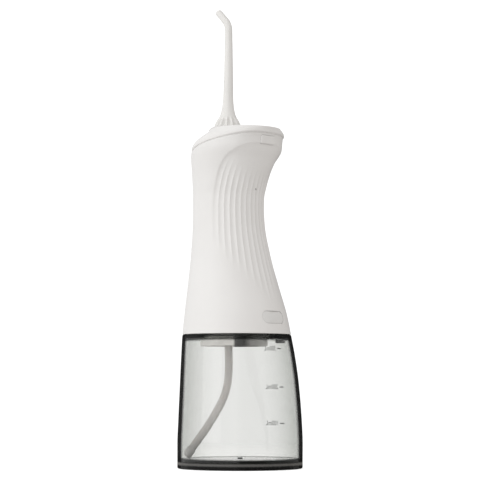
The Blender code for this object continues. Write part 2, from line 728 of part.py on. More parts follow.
def gear(name, teeth, bore, z_low, z_high, finish, location, half_step=False):
    outline = gear_outline(teeth)
    if half_step:
        turn = math.pi / teeth
        outline = [(x * math.cos(turn) + y * math.sin(turn), y * math.cos(turn) - x * math.sin(turn))
                   for x, y in outline]
    bm = bmesh.new()
    loft(bm, [[Vector((x, y, z)) for x, y in outline] for z in (z_low, z_high)],
         cap_first=True, cap_last=True)
    made = object_from(name, bm, finish, location)
    hole = drum(f"{name}_bore", bore, (location[0], location[1], z_low - 0.002),
                (location[0], location[1], z_high + 0.002), sides=16, cutter=True)
    cut(made, hole)
    return made


def make_drive():
    crank = gear("crank_gear", CRANK_TEETH, AXLE_R + 0.0002, *GEAR_Z, "acetal", (0, CRANK_Y, 0),
                 half_step=True)
    pin = drum("crank_pin", CRANK_PIN_R, (CRANK_THROW, CRANK_Y, ROD_Z[1] + GAP),
               (CRANK_THROW, CRANK_Y, GEAR_Z[0] + 0.0010), sides=12, cutter=True)
    cut(crank, pin, "UNION")
    drum("gear_axle", AXLE_R, (0, CRANK_Y, GEAR_Z[0]), (0, CRANK_Y, SHELF_Z[1] - GAP), "steel",
         sides=16)
    gear("motor_pinion", PINION_TEETH, 0.0012, GEAR_Z[0] - 0.0002, GEAR_Z[1] + 0.0008,
         "brass", (0, MOTOR_Y, 0))
    shaft_r = 0.0010
    turned("motor", ((0.0, 0.1272), (shaft_r, 0.1272), (shaft_r, MOTOR_Z[1]),
                     (MOTOR_R - 0.0008, MOTOR_Z[1]), (MOTOR_R, MOTOR_Z[1] - 0.0008),
                     (MOTOR_R, MOTOR_Z[0]), (0.0, MOTOR_Z[0])), "steel", (0, MOTOR_Y, 0), steps=28)
    for number, x in enumerate((-0.0062, 0.0062), 1):
        drum(f"motor_screw_{number}", 0.0015, (x, MOTOR_Y + 0.0040, BRACKET_Z[1] + GAP),
             (x, MOTOR_Y + 0.0040, BRACKET_Z[1] + GAP + 0.0010), "steel", sides=12)
    wrist = CRANK_THROW + ROD_LENGTH
    rod = block("connecting_rod", (CRANK_THROW + 0.001, CRANK_Y - 0.0013, ROD_Z[0]),
                (wrist - 0.0018, CRANK_Y + 0.0013, ROD_Z[1]), "acetal",
                origin=(wrist, CRANK_Y, 0))
    for name, x in (("rod_big_end", CRANK_THROW), ("rod_small_end", wrist)):
        eye = turned(name, ((0.0025, ROD_Z[1]), (0.0025, ROD_Z[0]), (0.0013, ROD_Z[0]),
                            (0.0013, ROD_Z[1])), location=(x, CRANK_Y, 0), steps=16, ring=True,
                     cutter=True)
        cut(rod, eye, "UNION")
    make_piston(wrist)
    make_pump()


def make_piston(wrist):
    head = wrist + 0.0030
    piston = turned("piston", ((0.0, 0.0042), (0.0038, 0.0042), (0.0038, 0.0029),
                               (0.0030, 0.0029), (0.0030, 0.0013), (0.0038, 0.0013),
                               (0.0038, 0.0), (0.0, 0.0)), "acetal", (head, CRANK_Y, PUMP_Z),
                    steps=20, along=(1, 0, 0))
    tongue = block("piston_tongue", (wrist - 0.0020, CRANK_Y - 0.0018, PUMP_Z - 0.0016),
                   (head + 0.0006, CRANK_Y + 0.0018, ROD_Z[0] - GAP), cutter=True)
    cut(piston, tongue, "UNION")
    pin = drum("wrist_pin", 0.0010, (wrist, CRANK_Y, PUMP_Z), (wrist, CRANK_Y, ROD_Z[1] + 0.0004),
               sides=12, cutter=True)
    cut(piston, pin, "UNION")
    turned("piston_seal", ((0.0040, 0.0005), (0.0040, -0.0005), (0.0033, -0.0005),
                           (0.0033, 0.0005)), "soft_rubber",
           (head + 0.0021, CRANK_Y, PUMP_Z), steps=20, ring=True, along=(1, 0, 0))


def make_pump():
    low, high = PUMP_X
    body = drum("pump_body", PUMP_R, (low, CRANK_Y, PUMP_Z), (high, CRANK_Y, PUMP_Z), "acetal",
                sides=28)
    ports = (("inlet", PUMP_Z - 0.0085, PUMP_Z - 0.0030), ("outlet", PUMP_Z + 0.0030, PUMP_Z + 0.0085))
    for name, bottom, top in ports:
        neck = drum(f"{name}_neck", PORT_TUBE_R, (PORT_X, CRANK_Y, bottom),
                    (PORT_X, CRANK_Y, top), sides=16, cutter=True)
        cut(body, neck, "UNION")
    bore = drum("pump_bore", PUMP_BORE_R, (low - 0.002, CRANK_Y, PUMP_Z),
                (high - 0.0016, CRANK_Y, PUMP_Z), sides=24, cutter=True)
    cut(body, bore)
    through_port = drum("port_bore", PORT_BORE_R, (PORT_X, CRANK_Y, PUMP_Z - 0.0100),
                        (PORT_X, CRANK_Y, PUMP_Z + 0.0100), sides=16, cutter=True)
    cut(body, through_port)
    for name, z in (("inlet_valve", PUMP_Z - 0.0066), ("outlet_valve", PUMP_Z + 0.0056)):
        drum(name, PORT_BORE_R - GAP, (PORT_X, CRANK_Y, z),
             (PORT_X, CRANK_Y, z + 0.0008), "soft_rubber", sides=12)


def make_chassis():
    chassis = block("chassis", (-0.0110, SPINE_Y[0], SHELF_Z[0] + 0.0002),
                    (0.0110, SPINE_Y[1], SPINE_TOP), "grey_plastic")
    pieces = [("shelf", (-0.0150, -0.0220, SHELF_Z[0]), (0.0150, 0.0085, SHELF_Z[1])),
              ("bracket", (-0.0145, -0.0006, BRACKET_Z[0]), (0.0145, 0.0150, BRACKET_Z[1]))]
    for side in (-1, 1):
        pieces.append((f"post_{side}", (side * 0.0130 - 0.0012, 0.0035, BRACKET_Z[0] + 0.0002),
                       (side * 0.0130 + 0.0012, 0.0075, SHELF_Z[0] + 0.0005)))
        pieces.append((f"leg_{side}", (side * 0.0128 - 0.0012, 0.0040, 0.0912),
                       (side * 0.0128 + 0.0012, 0.0090, BRACKET_Z[0] + 0.0006)))
        for z in (0.1480, 0.1850):
            pieces.append((f"standoff_{side}_{int(z * 1000)}",
                           (side * 0.0085 - 0.0012, BOARD_Y + GAP, z - 0.0012),
                           (side * 0.0085 + 0.0012, SPINE_Y[0] + 0.0005, z + 0.0012)))
    pieces.append(("hook", (-0.0060, SPINE_Y[1] - 0.0005, BATTERY_Z[1] + GAP),
                   (0.0060, 0.0030, BATTERY_Z[1] + GAP + 0.0015)))
    for name, low, high in pieces:
        cut(chassis, block(f"chassis_{name}", low, high, cutter=True), "UNION")
    cut(chassis, drum("axle_seat", AXLE_R + GAP, (0, CRANK_Y, 0.127), (0, CRANK_Y, 0.134),
                      sides=16, cutter=True))
    cut(chassis, drum("shaft_hole", 0.0030, (0, MOTOR_Y, 0.119), (0, MOTOR_Y, 0.125), sides=16,
                      cutter=True))
    nub = 0.0030
    turned("battery", ((0.0, BATTERY_Z[1]), (nub, BATTERY_Z[1]), (nub, BATTERY_Z[1] - 0.0010),
                       (BATTERY_R - 0.0006, BATTERY_Z[1] - 0.0010),
                       (BATTERY_R, BATTERY_Z[1] - 0.0016), (BATTERY_R, BATTERY_Z[0]),
                       (0.0, BATTERY_Z[0])), "battery_wrap", (0, BATTERY_Y, 0), steps=28)


# ---------------------------------------------------------------- lower cover, hose and tubes
def make_lower_cover():
    """The plate that closes the handle, with the collar that plugs the tank's mouth."""
    count = 36
    z_low, z_high = HANDLE_BOTTOM, 0.0905
    collar_in = COLLAR_R - 0.0020

    def plate(z):
        radius, middle = section(z)
        return ring_at(radius - SKIN - GAP, middle, z, count)

    groove_low, groove_high = 0.0832, 0.0853
    rings = [plate(z_high), plate(z_low),
             ring_at(COLLAR_R, MOUTH_Y, z_low, count),
             ring_at(COLLAR_R, MOUTH_Y, groove_high, count),
             ring_at(COLLAR_R - 0.0010, MOUTH_Y, groove_high, count),
             ring_at(COLLAR_R - 0.0010, MOUTH_Y, groove_low, count),
             ring_at(COLLAR_R, MOUTH_Y, groove_low, count),
             ring_at(COLLAR_R, MOUTH_Y, COLLAR_BOTTOM, count),
             ring_at(collar_in, MOUTH_Y, COLLAR_BOTTOM, count),
             ring_at(collar_in, MOUTH_Y, COLLAR_BOTTOM + 0.0010, count)]
    bm = bmesh.new()
    loft(bm, rings, cap_first=True, cap_last=True)
    cover = object_from("lower_cover", bm, "grey_plastic")
    for number, (x, y) in enumerate(screw_places(), 1):
        cut(cover, drum(f"screw_hole_{number}", 0.0017, (x, y, 0.0850), (x, y, 0.0920), sides=12,
                        cutter=True))
        turned(f"cover_screw_{number}", ((0.0, 0.0098), (0.0011, 0.0098), (0.0012, 0.0006),
                                         (0.0014, 0.0006), (0.0014, 0.0), (0.0, 0.0)), "steel",
               (x, y, HANDLE_BOTTOM + 0.0001), steps=12)
    cut(cover, drum("fitting_hole", 0.0033, (0, -0.0102, 0.0780), (0, -0.0102, 0.0920), sides=20,
                    cutter=True))
    turned("tank_seal", ring_outline(COLLAR_R - 0.00025, 0.00060, 6), "soft_rubber",
           (0, MOUTH_Y, (groove_low + groove_high) / 2), steps=40, ring=True)
    bottom, top = FITTING_Z
    turned("hose_fitting", ((0.0030, top), (0.0030, bottom), (0.0014, bottom), (0.0014, top)),
           "dark_plastic", (0, -0.0102, 0), steps=20, ring=True)


def make_tubes():
    route = through(HOSE_ROUTE, 28)
    tube("suction_hose", route, HOSE_R, "hose_silicone")
    ahead = (route[-1] - route[-2]).normalized()
    half = FILTER_R * 0.30
    turned("hose_filter", ((0.0, FILTER_LENGTH), (half, FILTER_LENGTH),
                           (FILTER_R, FILTER_LENGTH - 0.0016), (FILTER_R, 0.0008),
                           (FILTER_R - 0.0006, 0.0), (0.0, 0.0)), "hose_silicone",
           route[-1] + ahead * GAP, steps=20, along=ahead)
    inlet = ((0, -0.0102, 0.0937), (0, -0.0102, 0.0955), (0.0022, -0.0102, 0.0990),
             (0.0065, -0.0101, 0.1012), (0.0125, -0.0098, 0.1013), (0.0180, -0.0093, 0.1016),
             (0.0213, -0.0090, 0.1040), (PORT_X, -0.0090, 0.1072))
    tube("inlet_tube", through(inlet, 20), 0.0022, "hose_silicone")
    outlet = ((PORT_X, CRANK_Y, 0.1248), (0.0218, -0.0095, 0.1275), (0.0190, -0.0125, 0.1350),
              (0.0158, -0.0155, 0.1450), (0.0150, -0.0160, 0.1600), (0.0150, -0.0160, 0.1780),
              (0.0150, -0.0150, 0.1900), (0.0148, -0.0120, 0.1980), (0.0128, -0.0106, 0.2034),
              (0.0092, -0.0103, 0.2054))
    tube("outlet_tube", through(outlet, 30), 0.0017, "hose_silicone")


clear_scene()
PARTS = new_collection("water_flosser")
CUTTERS = new_collection("cutters")
make_tank()
make_housing()
make_cap()
make_head()
make_release()
make_controls()
make_port()
make_drive()
make_chassis()
make_lower_cover()
make_tubes()
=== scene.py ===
"""Looks of the cordless water flosser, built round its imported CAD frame. Metres, +Z up."""
import json
import math

import bmesh
import bpy
import numpy as np
from mathutils import Matrix, Vector


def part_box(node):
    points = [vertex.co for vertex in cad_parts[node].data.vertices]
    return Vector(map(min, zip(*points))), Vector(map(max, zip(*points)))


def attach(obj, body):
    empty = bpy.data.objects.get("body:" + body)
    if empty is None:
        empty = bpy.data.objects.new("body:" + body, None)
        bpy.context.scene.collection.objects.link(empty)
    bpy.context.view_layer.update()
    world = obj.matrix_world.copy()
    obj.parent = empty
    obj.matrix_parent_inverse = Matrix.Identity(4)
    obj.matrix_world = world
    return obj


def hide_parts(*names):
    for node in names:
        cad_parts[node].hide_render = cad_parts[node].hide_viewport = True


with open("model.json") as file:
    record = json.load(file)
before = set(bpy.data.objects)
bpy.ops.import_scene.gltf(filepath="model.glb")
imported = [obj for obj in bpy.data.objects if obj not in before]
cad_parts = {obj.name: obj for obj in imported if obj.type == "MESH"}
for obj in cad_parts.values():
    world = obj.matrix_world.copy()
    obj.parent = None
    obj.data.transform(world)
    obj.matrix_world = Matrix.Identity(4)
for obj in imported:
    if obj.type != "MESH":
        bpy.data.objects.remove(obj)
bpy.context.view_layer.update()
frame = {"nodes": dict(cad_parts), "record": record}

# ---------------------------------------------------------------- camera
CAMERA_AZIMUTH = math.radians(133)
CAMERA_DISTANCE = 1.2
CAMERA_HEIGHT = 0.0536
CAMERA_PITCH = math.radians(4.49)
CAMERA_LENS = 138.4


def make_camera():
    data = bpy.data.cameras.new("camera")
    data.lens = CAMERA_LENS
    data.sensor_width = 36.0
    camera = bpy.data.objects.new("camera", data)
    bpy.context.scene.collection.objects.link(camera)
    camera.location = (math.sin(CAMERA_AZIMUTH) * CAMERA_DISTANCE,
                       -math.cos(CAMERA_AZIMUTH) * CAMERA_DISTANCE, CAMERA_HEIGHT)
    camera.rotation_euler = (math.pi / 2 + CAMERA_PITCH, 0, CAMERA_AZIMUTH)
    bpy.context.scene.camera = camera


make_camera()
bpy.context.scene.view_settings.view_transform = "Standard"

# ---------------------------------------------------------------- dimensions
GAP = 0.0003                # left between pieces that touch
SKIN = 0.0020               # housing wall
KEY_GAP = 0.00010           # round the flap and the release key
KEY_HOLE_R = 0.0063
LENS_HOLE_R = 0.0012
LIGHT_HOLE_R = 0.0007
BODY_FRONT = ((0.0, -0.0405), (0.0160, -0.0405), (0.0295, -0.0400), (0.0545, -0.0391),
              (0.0700, -0.0387), (0.0853, -0.0383), (0.0990, -0.0373), (0.1185, -0.0358),
              (0.1380, -0.0344), (0.1577, -0.03375), (0.1754, -0.03365), (0.1990, -0.0336),
              (0.2069, -0.0325), (0.2180, -0.0303))
BODY_BACK = ((0.0, 0.0405), (0.0160, 0.0406), (0.0295, 0.0401), (0.0545, 0.0380),
             (0.0700, 0.0357), (0.0853, 0.0326), (0.0990, 0.0296), (0.1185, 0.0234),
             (0.1380, 0.0176), (0.1577, 0.0135), (0.1675, 0.0129), (0.1754, 0.0132),
             (0.1833, 0.0152), (0.1911, 0.0181), (0.1990, 0.0223), (0.2069, 0.0267),
             (0.2130, 0.0276), (0.2180, 0.0298))
TANK_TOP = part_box("tank_shell")[1].z
HANDLE_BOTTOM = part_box("main_housing")[0].z
TANK_WALL = 0.0030
TANK_FLOOR = 0.0060
DECK = 0.0030
MOUTH_Y = -0.0054
MOUTH_R = 0.0226
COLLAR_R = 0.0220
COLLAR_GROOVE = (0.0832, 0.0853)
# painted light and shade of the collar across its width, from the painted lit side to the painted
# dark side
COLLAR_PAINTED_SHADE_STOPS = ((0.0, 0.90), (0.30, 0.80), (0.38, 0.92), (0.49, 0.92), (0.52, 0.045),
                (0.66, 0.055), (0.74, 0.30), (1.0, 0.42))
INLET_Y = -0.0102           # where the hose leaves the cover
INLET_R = 0.0040
FOOT_INNER_R = 0.0350
SEAM_Z = 0.2107
SEAM_SLOPE = 0.196
SEAM_GAP = 0.00018
RIM_START = 0.2030
CAP_TOP = 0.2198
CAP_TOP_R = 0.0235
CAP_TOP_Y = 0.0040
CAP_FALL = 0.0015           # how far the cap's top drops towards the front
CAP_HOLE_R = 0.0068
CAP_WALL = 0.0018
CAP_SHOULDER = ((0.0, 0.0), (0.0, 0.48), (0.80, 0.72), (1.0, 1.0))
FLUTES = 16
FLUTE_DEPTH = 0.00052
ARCH = ((0.0, 72.0), (0.168, 72.0), (0.178, 70.8), (0.186, 68.4), (0.192, 65.6),
        (0.197, 62.0), (0.201, 57.0), (0.205, 47.5), (0.208, 34.0), (0.2094, 17.0),
        (0.2099, 0.0))
ARCH_TOP = ARCH[-1][0]
RECESS = 0.0016
RECESS_REACH = 0.0030
RECESS_FADE = 0.0130
BROW_FLAT = 0.0026
BROW_HALF = 50.0
NOZZLE_Y = -0.0103
DIAL_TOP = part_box("nozzle_dial")[1].z
DIAL_R = 0.0130
BEND_START = 0.2873
BEND_ANGLE = math.radians(45)
BEND_RADIUS = 0.0100
TIP_STRAIGHT = 0.0092
NOZZLE_PROFILE = ((0.22315, 0.0090), (0.2240, 0.0089), (0.2256, 0.0083), (0.2276, 0.0072),
                  (0.2295, 0.0058), (0.2315, 0.0049), (0.2355, 0.0040), (0.2394, 0.0035),
                  (0.2430, 0.0033), (0.2510, 0.0031), (0.2590, 0.0029), (0.2750, 0.00265),
                  (0.2830, 0.0025), (0.2873, 0.00245))
NOZZLE_LEAN = 0.0007        # the foot stands this far forward of the axis
NOZZLE_PETALS = 14
PETAL_DEPTH = 0.21
STEM_R = 0.0037
SEAL_GROOVE_R = 0.0028
PAINTED_HIGHLIGHT_Z = 0.0033           # height of the painted highlight line in the tank's painted dark foot
BREATHER_R = 0.0034
BREATHER_STEM_R = 0.0019
BREATHER_HEIGHT = 0.0030
# volume marks: the number, its height, and its shift round the wall
MARKS = (("300mL", 0.0778, 0.0037), ("200mL", 0.0523, 0.0014), ("100mL", 0.0283, 0.0000))
MARK_SIZE = 0.0044
MARK_NARROWING = 0.88
TICK_SIZE = (0.0046, 0.00065)
TICK_X = -0.0038
HOSE_EXIT = (0.0, -0.0102, 0.0796)
HOSE_DIAMETER = 0.0052
HOSE_ROUTE = (HOSE_EXIT, (0.0, -0.0102, 0.0740), (0.0, -0.0100, 0.0675),
              (0.0003, -0.0103, 0.0576), (0.0015, -0.0111, 0.0500), (0.0038, -0.0124, 0.0430),
              (0.0072, -0.0144, 0.0360), (0.0112, -0.0166, 0.0288), (0.0151, -0.0192, 0.0221),
              (0.0187, -0.0218, 0.0162), (0.0209, -0.0235, 0.0125))


# ---------------------------------------------------------------- node materials
def new_material(name):
    material = bpy.data.materials.new(name)
    material.use_nodes = True
    tree = material.node_tree
    return material, tree, tree.nodes["Principled BSDF"]


def noise(tree, scale, detail=3.0, stretch=(1, 1, 1)):
    """A noise texture on the object's own coordinates, scaled per metre."""
    place = tree.nodes.new("ShaderNodeTexCoord")
    mapping = tree.nodes.new("ShaderNodeMapping")
    mapping.inputs["Scale"].default_value = stretch
    texture = tree.nodes.new("ShaderNodeTexNoise")
    texture.inputs["Scale"].default_value = scale
    texture.inputs["Detail"].default_value = detail
    tree.links.new(place.outputs["Object"], mapping.inputs["Vector"])
    tree.links.new(mapping.outputs["Vector"], texture.inputs["Vector"])
    return texture.outputs["Fac"]


def spread(tree, value, low, high, start=0.3, end=0.7):
    """Map a noise to a range of values."""
    node = tree.nodes.new("ShaderNodeMapRange")
    node.inputs["From Min"].default_value = start
    node.inputs["From Max"].default_value = end
    node.inputs["To Min"].default_value = low
    node.inputs["To Max"].default_value = high
    tree.links.new(value, node.inputs["Value"])
    return node.outputs["Result"]


def tones(tree, value, dark, light, start=0.3, end=0.7):
    ramp = tree.nodes.new("ShaderNodeValToRGB")
    ramp.color_ramp.elements[0].position = start
    ramp.color_ramp.elements[1].position = end
    ramp.color_ramp.elements[0].color = (*dark, 1)
    ramp.color_ramp.elements[1].color = (*light, 1)
    tree.links.new(value, ramp.inputs["Fac"])
    return ramp.outputs["Color"]


def add_bump(tree, shader, value, strength, distance):
    bump = tree.nodes.new("ShaderNodeBump")
    bump.inputs["Strength"].default_value = strength
    bump.inputs["Distance"].default_value = distance
    tree.links.new(value, bump.inputs["Height"])
    tree.links.new(bump.outputs["Normal"], shader.inputs["Normal"])


def calculate(tree, operation, first, second):
    """A maths node on a socket and a second socket or number."""
    node = tree.nodes.new("ShaderNodeMath")
    node.operation = operation
    tree.links.new(first, node.inputs[0])
    if isinstance(second, float):
        node.inputs[1].default_value = second
    else:
        tree.links.new(second, node.inputs[1])
    return node.outputs["Value"]


def attribute(tree, name):
    node = tree.nodes.new("ShaderNodeAttribute")
    node.attribute_name = name
    return node.outputs["Fac"]


def along_direction(tree, vector, direction):
    """How far a vector reaches along a direction."""
    node = tree.nodes.new("ShaderNodeVectorMath")
    node.operation = "DOT_PRODUCT"
    node.inputs[1].default_value = direction
    tree.links.new(vector, node.inputs[0])
    return node.outputs["Value"]


def moulded(name, colour, roughness, vary=0.02, grain=900.0, bump=0.10, coat=0.0, metallic=0.0,
            subsurface=0.0, stretch=(1, 1, 1)):
    """Moulded plastic, rubber or metal: faint mottling, uneven gloss and a fine grain."""
    material, tree, shader = new_material(name)
    dark = tuple(c * (1 - vary) for c in colour)
    light = tuple(min(c * (1 + vary), 1.0) for c in colour)
    broad = noise(tree, 45.0, stretch=stretch)
    tree.links.new(tones(tree, broad, dark, light), shader.inputs["Base Color"])
    fine = noise(tree, grain, 2.0, stretch)
    tree.links.new(spread(tree, fine, roughness - 0.04, roughness + 0.04),
                   shader.inputs["Roughness"])
    add_bump(tree, shader, fine, bump, 0.00005)
    shader.inputs["Metallic"].default_value = metallic
    shader.inputs["Coat Weight"].default_value = coat
    shader.inputs["Coat Roughness"].default_value = 0.15
    shader.inputs["Subsurface Weight"].default_value = subsurface
    shader.inputs["Subsurface Scale"].default_value = 0.002
    shader.inputs["Subsurface Radius"].default_value = (1.0, 0.95, 0.9)
    return material


def smoked_clear_painted_shade():
    """Thick clear plastic with smoke in it, and painted shade: the outer wall darkened where it
    is seen edge on and in bands at the deck and the foot.
    """
    material, tree, shader = new_material("tank_clear")
    shader.inputs["Transmission Weight"].default_value = 1.0
    shader.inputs["IOR"].default_value = 1.49
    shader.inputs["Specular IOR Level"].default_value = 0.15
    fine = noise(tree, 300.0, 2.0)
    weight = tree.nodes.new("ShaderNodeLayerWeight")
    weight.inputs["Blend"].default_value = 0.5
    facing = weight.outputs["Facing"]
    # painted shade: the clear tint darkens towards the edge-on wall
    tree.links.new(tones(tree, facing, (1.0, 1.0, 0.995), (0.74, 0.75, 0.73), 0.10, 0.60),
                   shader.inputs["Base Color"])
    tree.links.new(spread(tree, fine, 0.0, 0.006), shader.inputs["Roughness"])
    # a dark sheet mixed in as painted shade on the edge-on wall and on the deck and foot bands
    edge = tree.nodes.new("ShaderNodeBsdfPrincipled")
    place = tree.nodes.new("ShaderNodeTexCoord")
    parts = tree.nodes.new("ShaderNodeSeparateXYZ")
    tree.links.new(place.outputs["Object"], parts.inputs["Vector"])
    height = parts.outputs["Z"]
    # painted highlight: a bright line across the painted dark foot band
    highlight_profile = spread(tree, calculate(tree, "PINGPONG", height, PAINTED_HIGHLIGHT_Z), 0, 1,
                    0.60 * PAINTED_HIGHLIGHT_Z, 0.90 * PAINTED_HIGHLIGHT_Z)
    painted_highlight = calculate(tree, "MULTIPLY", highlight_profile,
                       calculate(tree, "LESS_THAN", height, 2 * PAINTED_HIGHLIGHT_Z))
    tree.links.new(tones(tree, painted_highlight, (0.012, 0.012, 0.012), (0.15, 0.147, 0.14), 0.0, 1.0),
                   edge.inputs["Base Color"])
    edge.inputs["Specular IOR Level"].default_value = 0.0
    tree.links.new(spread(tree, fine, 0.20, 0.30), edge.inputs["Roughness"])
    # share of painted shade: the edge-on outer wall, the band above the deck (lighter face on)
    # and the foot band
    side = calculate(tree, "MULTIPLY", spread(tree, facing, 0.0, 0.98, 0.575, 0.675),
                     attribute(tree, "outer_wall"))
    deck = calculate(tree, "MULTIPLY", spread(tree, facing, 0.0, 0.92, 0.15, 0.23),
                     attribute(tree, "deck_painted_shade"))
    painted_dark_bands = calculate(tree, "MAXIMUM", deck, attribute(tree, "foot_painted_shade"))
    painted_shade_share = calculate(tree, "MAXIMUM", side, painted_dark_bands)
    mix = tree.nodes.new("ShaderNodeMixShader")
    tree.links.new(painted_shade_share, mix.inputs["Fac"])
    tree.links.new(shader.outputs["BSDF"], mix.inputs[1])
    tree.links.new(edge.outputs["BSDF"], mix.inputs[2])
    end = tree.nodes["Material Output"]
    tree.links.new(mix.outputs["Shader"], end.inputs["Surface"])
    smoke = tree.nodes.new("ShaderNodeVolumeAbsorption")
    smoke.inputs["Color"].default_value = (0.30, 0.31, 0.28, 1)
    smoke.inputs["Density"].default_value = 90.0
    tree.links.new(smoke.outputs["Volume"], end.inputs["Volume"])
    return material


def smoked_ring_painted_shade():
    """Smoked plastic of the collar with painted light and shade: a pale side and a dark side,
    laid across one fixed direction.
    """
    material, tree, shader = new_material("collar_smoke_painted_shade")
    place = tree.nodes.new("ShaderNodeTexCoord")
    # the painted light and shade runs along this fixed sideways direction
    across = along_direction(tree, place.outputs["Object"],
                             (-0.682 / COLLAR_R, 0.731 / COLLAR_R, 0))
    ramp = tree.nodes.new("ShaderNodeValToRGB")
    tree.links.new(spread(tree, across, 0, 1, -1.18, 0.82), ramp.inputs["Fac"])
    for position, _ in COLLAR_PAINTED_SHADE_STOPS[1:-1]:
        ramp.color_ramp.elements.new(position)
    for element, (_, value) in zip(ramp.color_ramp.elements, COLLAR_PAINTED_SHADE_STOPS):
        element.color = (value, value * 0.97, value * 0.94, 1)
    tree.links.new(ramp.outputs["Color"], shader.inputs["Base Color"])
    fine = noise(tree, 1500.0, 2.0)
    tree.links.new(spread(tree, fine, 0.36, 0.42), shader.inputs["Roughness"])
    add_bump(tree, shader, fine, 0.03, 0.00003)
    shader.inputs["Metallic"].default_value = 0.8
    return material


WHITE = (0.80, 0.788, 0.772)
SHELL = moulded("shell_satin", WHITE, 0.36, vary=0.012, grain=1400.0, bump=0.06, coat=0.15)
CAP = moulded("cap_satin", WHITE, 0.32, vary=0.012, grain=1400.0, bump=0.05, coat=0.2)
NOZZLE = moulded("nozzle_gloss", (0.78, 0.768, 0.745), 0.24, vary=0.015, grain=900.0, bump=0.05,
                 coat=0.3)
# painted shade: the dial ring is a darker copy of the white, standing in for the shadow where it
# meets the cap
DIAL_PAINTED_SHADE = moulded("dial_satin_painted_shade", (0.70, 0.685, 0.67), 0.34, vary=0.012, grain=1400.0, bump=0.05)
KEY = moulded("key_rubber", (0.74, 0.735, 0.72), 0.55, vary=0.02, grain=2200.0, bump=0.12)
# the tank's look carries painted shade on its edges and bands
TANK = smoked_clear_painted_shade()
PAD = moulded("foot_rubber", (0.025, 0.025, 0.025), 0.65, vary=0.08, grain=2400.0, bump=0.25)
# the collar's colour carries painted light and shade
COLLAR = smoked_ring_painted_shade()
HOSE = moulded("hose_silicone", (0.80, 0.765, 0.74), 0.38, vary=0.04, grain=700.0, bump=0.06,
               subsurface=0.3)
INK = moulded("grey_ink", (0.10, 0.10, 0.10), 0.5, vary=0.10, grain=2500.0, bump=0.05)
DARK = moulded("dark_plastic", (0.03, 0.03, 0.03), 0.42, vary=0.15, grain=1800.0, bump=0.10)
SEAL = moulded("seal_rubber", (0.05, 0.05, 0.05), 0.55, vary=0.15, grain=2000.0, bump=0.15)
GREY = moulded("inner_grey", (0.30, 0.30, 0.30), 0.48, vary=0.05, grain=1600.0, bump=0.12)
ACETAL = moulded("acetal", (0.70, 0.69, 0.65), 0.40, vary=0.03, grain=1400.0, bump=0.08)
STEEL = moulded("steel", (0.56, 0.56, 0.57), 0.28, vary=0.06, grain=1800.0, bump=0.08,
                metallic=1.0, stretch=(1, 1, 12))
BRASS = moulded("brass", (0.62, 0.46, 0.22), 0.30, vary=0.06, grain=1800.0, bump=0.08,
                metallic=1.0, stretch=(1, 1, 8))
BOARD = moulded("board_green", (0.03, 0.16, 0.07), 0.40, vary=0.20, grain=900.0, bump=0.10,
                coat=0.3)
WRAP = moulded("battery_wrap", (0.05, 0.16, 0.32), 0.32, vary=0.10, grain=400.0, bump=0.15,
               coat=0.4)
LENS = moulded("milky_lens", (0.70, 0.76, 0.80), 0.16, vary=0.05, grain=800.0, bump=0.04,
               subsurface=0.4)
SMOKE = moulded("smoke_lens", (0.42, 0.41, 0.40), 0.20, vary=0.10, grain=800.0, bump=0.04)
SLOT_LOOKS = {"shell": SHELL, "dial": DIAL_PAINTED_SHADE, "nozzle": NOZZLE, "tank": TANK, "foot_rubber": PAD,
              "collar": COLLAR, "inner_grey": GREY, "dark_trim": DARK, "seal_rubber": SEAL,
              "key_rubber": KEY, "hose": HOSE, "acetal": ACETAL, "steel": STEEL,
              "brass": BRASS, "board": BOARD, "battery_wrap": WRAP, "lens": LENS}


# ---------------------------------------------------------------- formulas of the body
def smooth_curve(stations, at):
    """Values of a smooth curve through (position, value) stations; at may be an array."""
    x, y = np.array(stations).T
    at = np.clip(np.asarray(at, float), x[0], x[-1])
    rise = np.diff(y) / np.diff(x)
    slope = np.zeros(len(x))
    left, right = rise[:-1], rise[1:]
    same = left * right > 0
    slope[1:-1][same] = 2 * left[same] * right[same] / (left[same] + right[same])
    k = np.clip(np.searchsorted(x, at, side="right") - 1, 0, len(x) - 2)
    width = x[k + 1] - x[k]
    t = (at - x[k]) / width
    return ((2 * t ** 3 - 3 * t ** 2 + 1) * y[k] + (t ** 3 - 2 * t ** 2 + t) * width * slope[k]
            + (3 * t ** 2 - 2 * t ** 3) * y[k + 1] + (t ** 3 - t ** 2) * width * slope[k + 1])


def fade(low, high, at):
    t = np.clip((at - low) / (high - low), 0.0, 1.0)
    return t * t * (3 - 2 * t)


def section(z):
    front, back = smooth_curve(BODY_FRONT, z), smooth_curve(BODY_BACK, z)
    return (back - front) / 2, (back + front) / 2


def body_radius(z, angle):
    """The skin's radius; the angle is in degrees from the back, towards +X."""
    radius, middle = section(z)
    inside = np.clip(np.abs(angle) / BROW_HALF, 0, 1)
    flat = BROW_FLAT * np.cos(np.pi / 2 * inside) ** 2 * fade(0.190, 0.205, z)
    return radius - flat, middle


def body_points(z, angle, inset=0.0):
    """Points of the skin, for arrays of heights and angles of one shape."""
    radius, middle = body_radius(z, angle)
    radius = radius - inset
    turn = np.radians(angle)
    return np.stack((radius * np.sin(turn), middle + radius * np.cos(turn),
                     z + 0 * turn), axis=-1)


def seam_points(angle, inset=0.0, rise=0.0):
    z = np.full(len(angle), SEAM_Z)
    for _ in range(6):
        points = body_points(z, angle, inset)
        z = SEAM_Z + SEAM_SLOPE * points[:, 1] + rise
    points[:, 2] = z
    return points


def back_y(x, z, side=1):
    """Height of the skin along Y over a point (x, z), on the back (1) or the front (-1)."""
    radius, middle = section(z)
    y = middle + side * np.sqrt(radius ** 2 - x ** 2)
    for _ in range(3):
        angle = np.degrees(np.arctan2(x, y - middle))
        radius, middle = body_radius(z, angle)
        y = middle + side * np.sqrt(radius ** 2 - x ** 2)
    return y


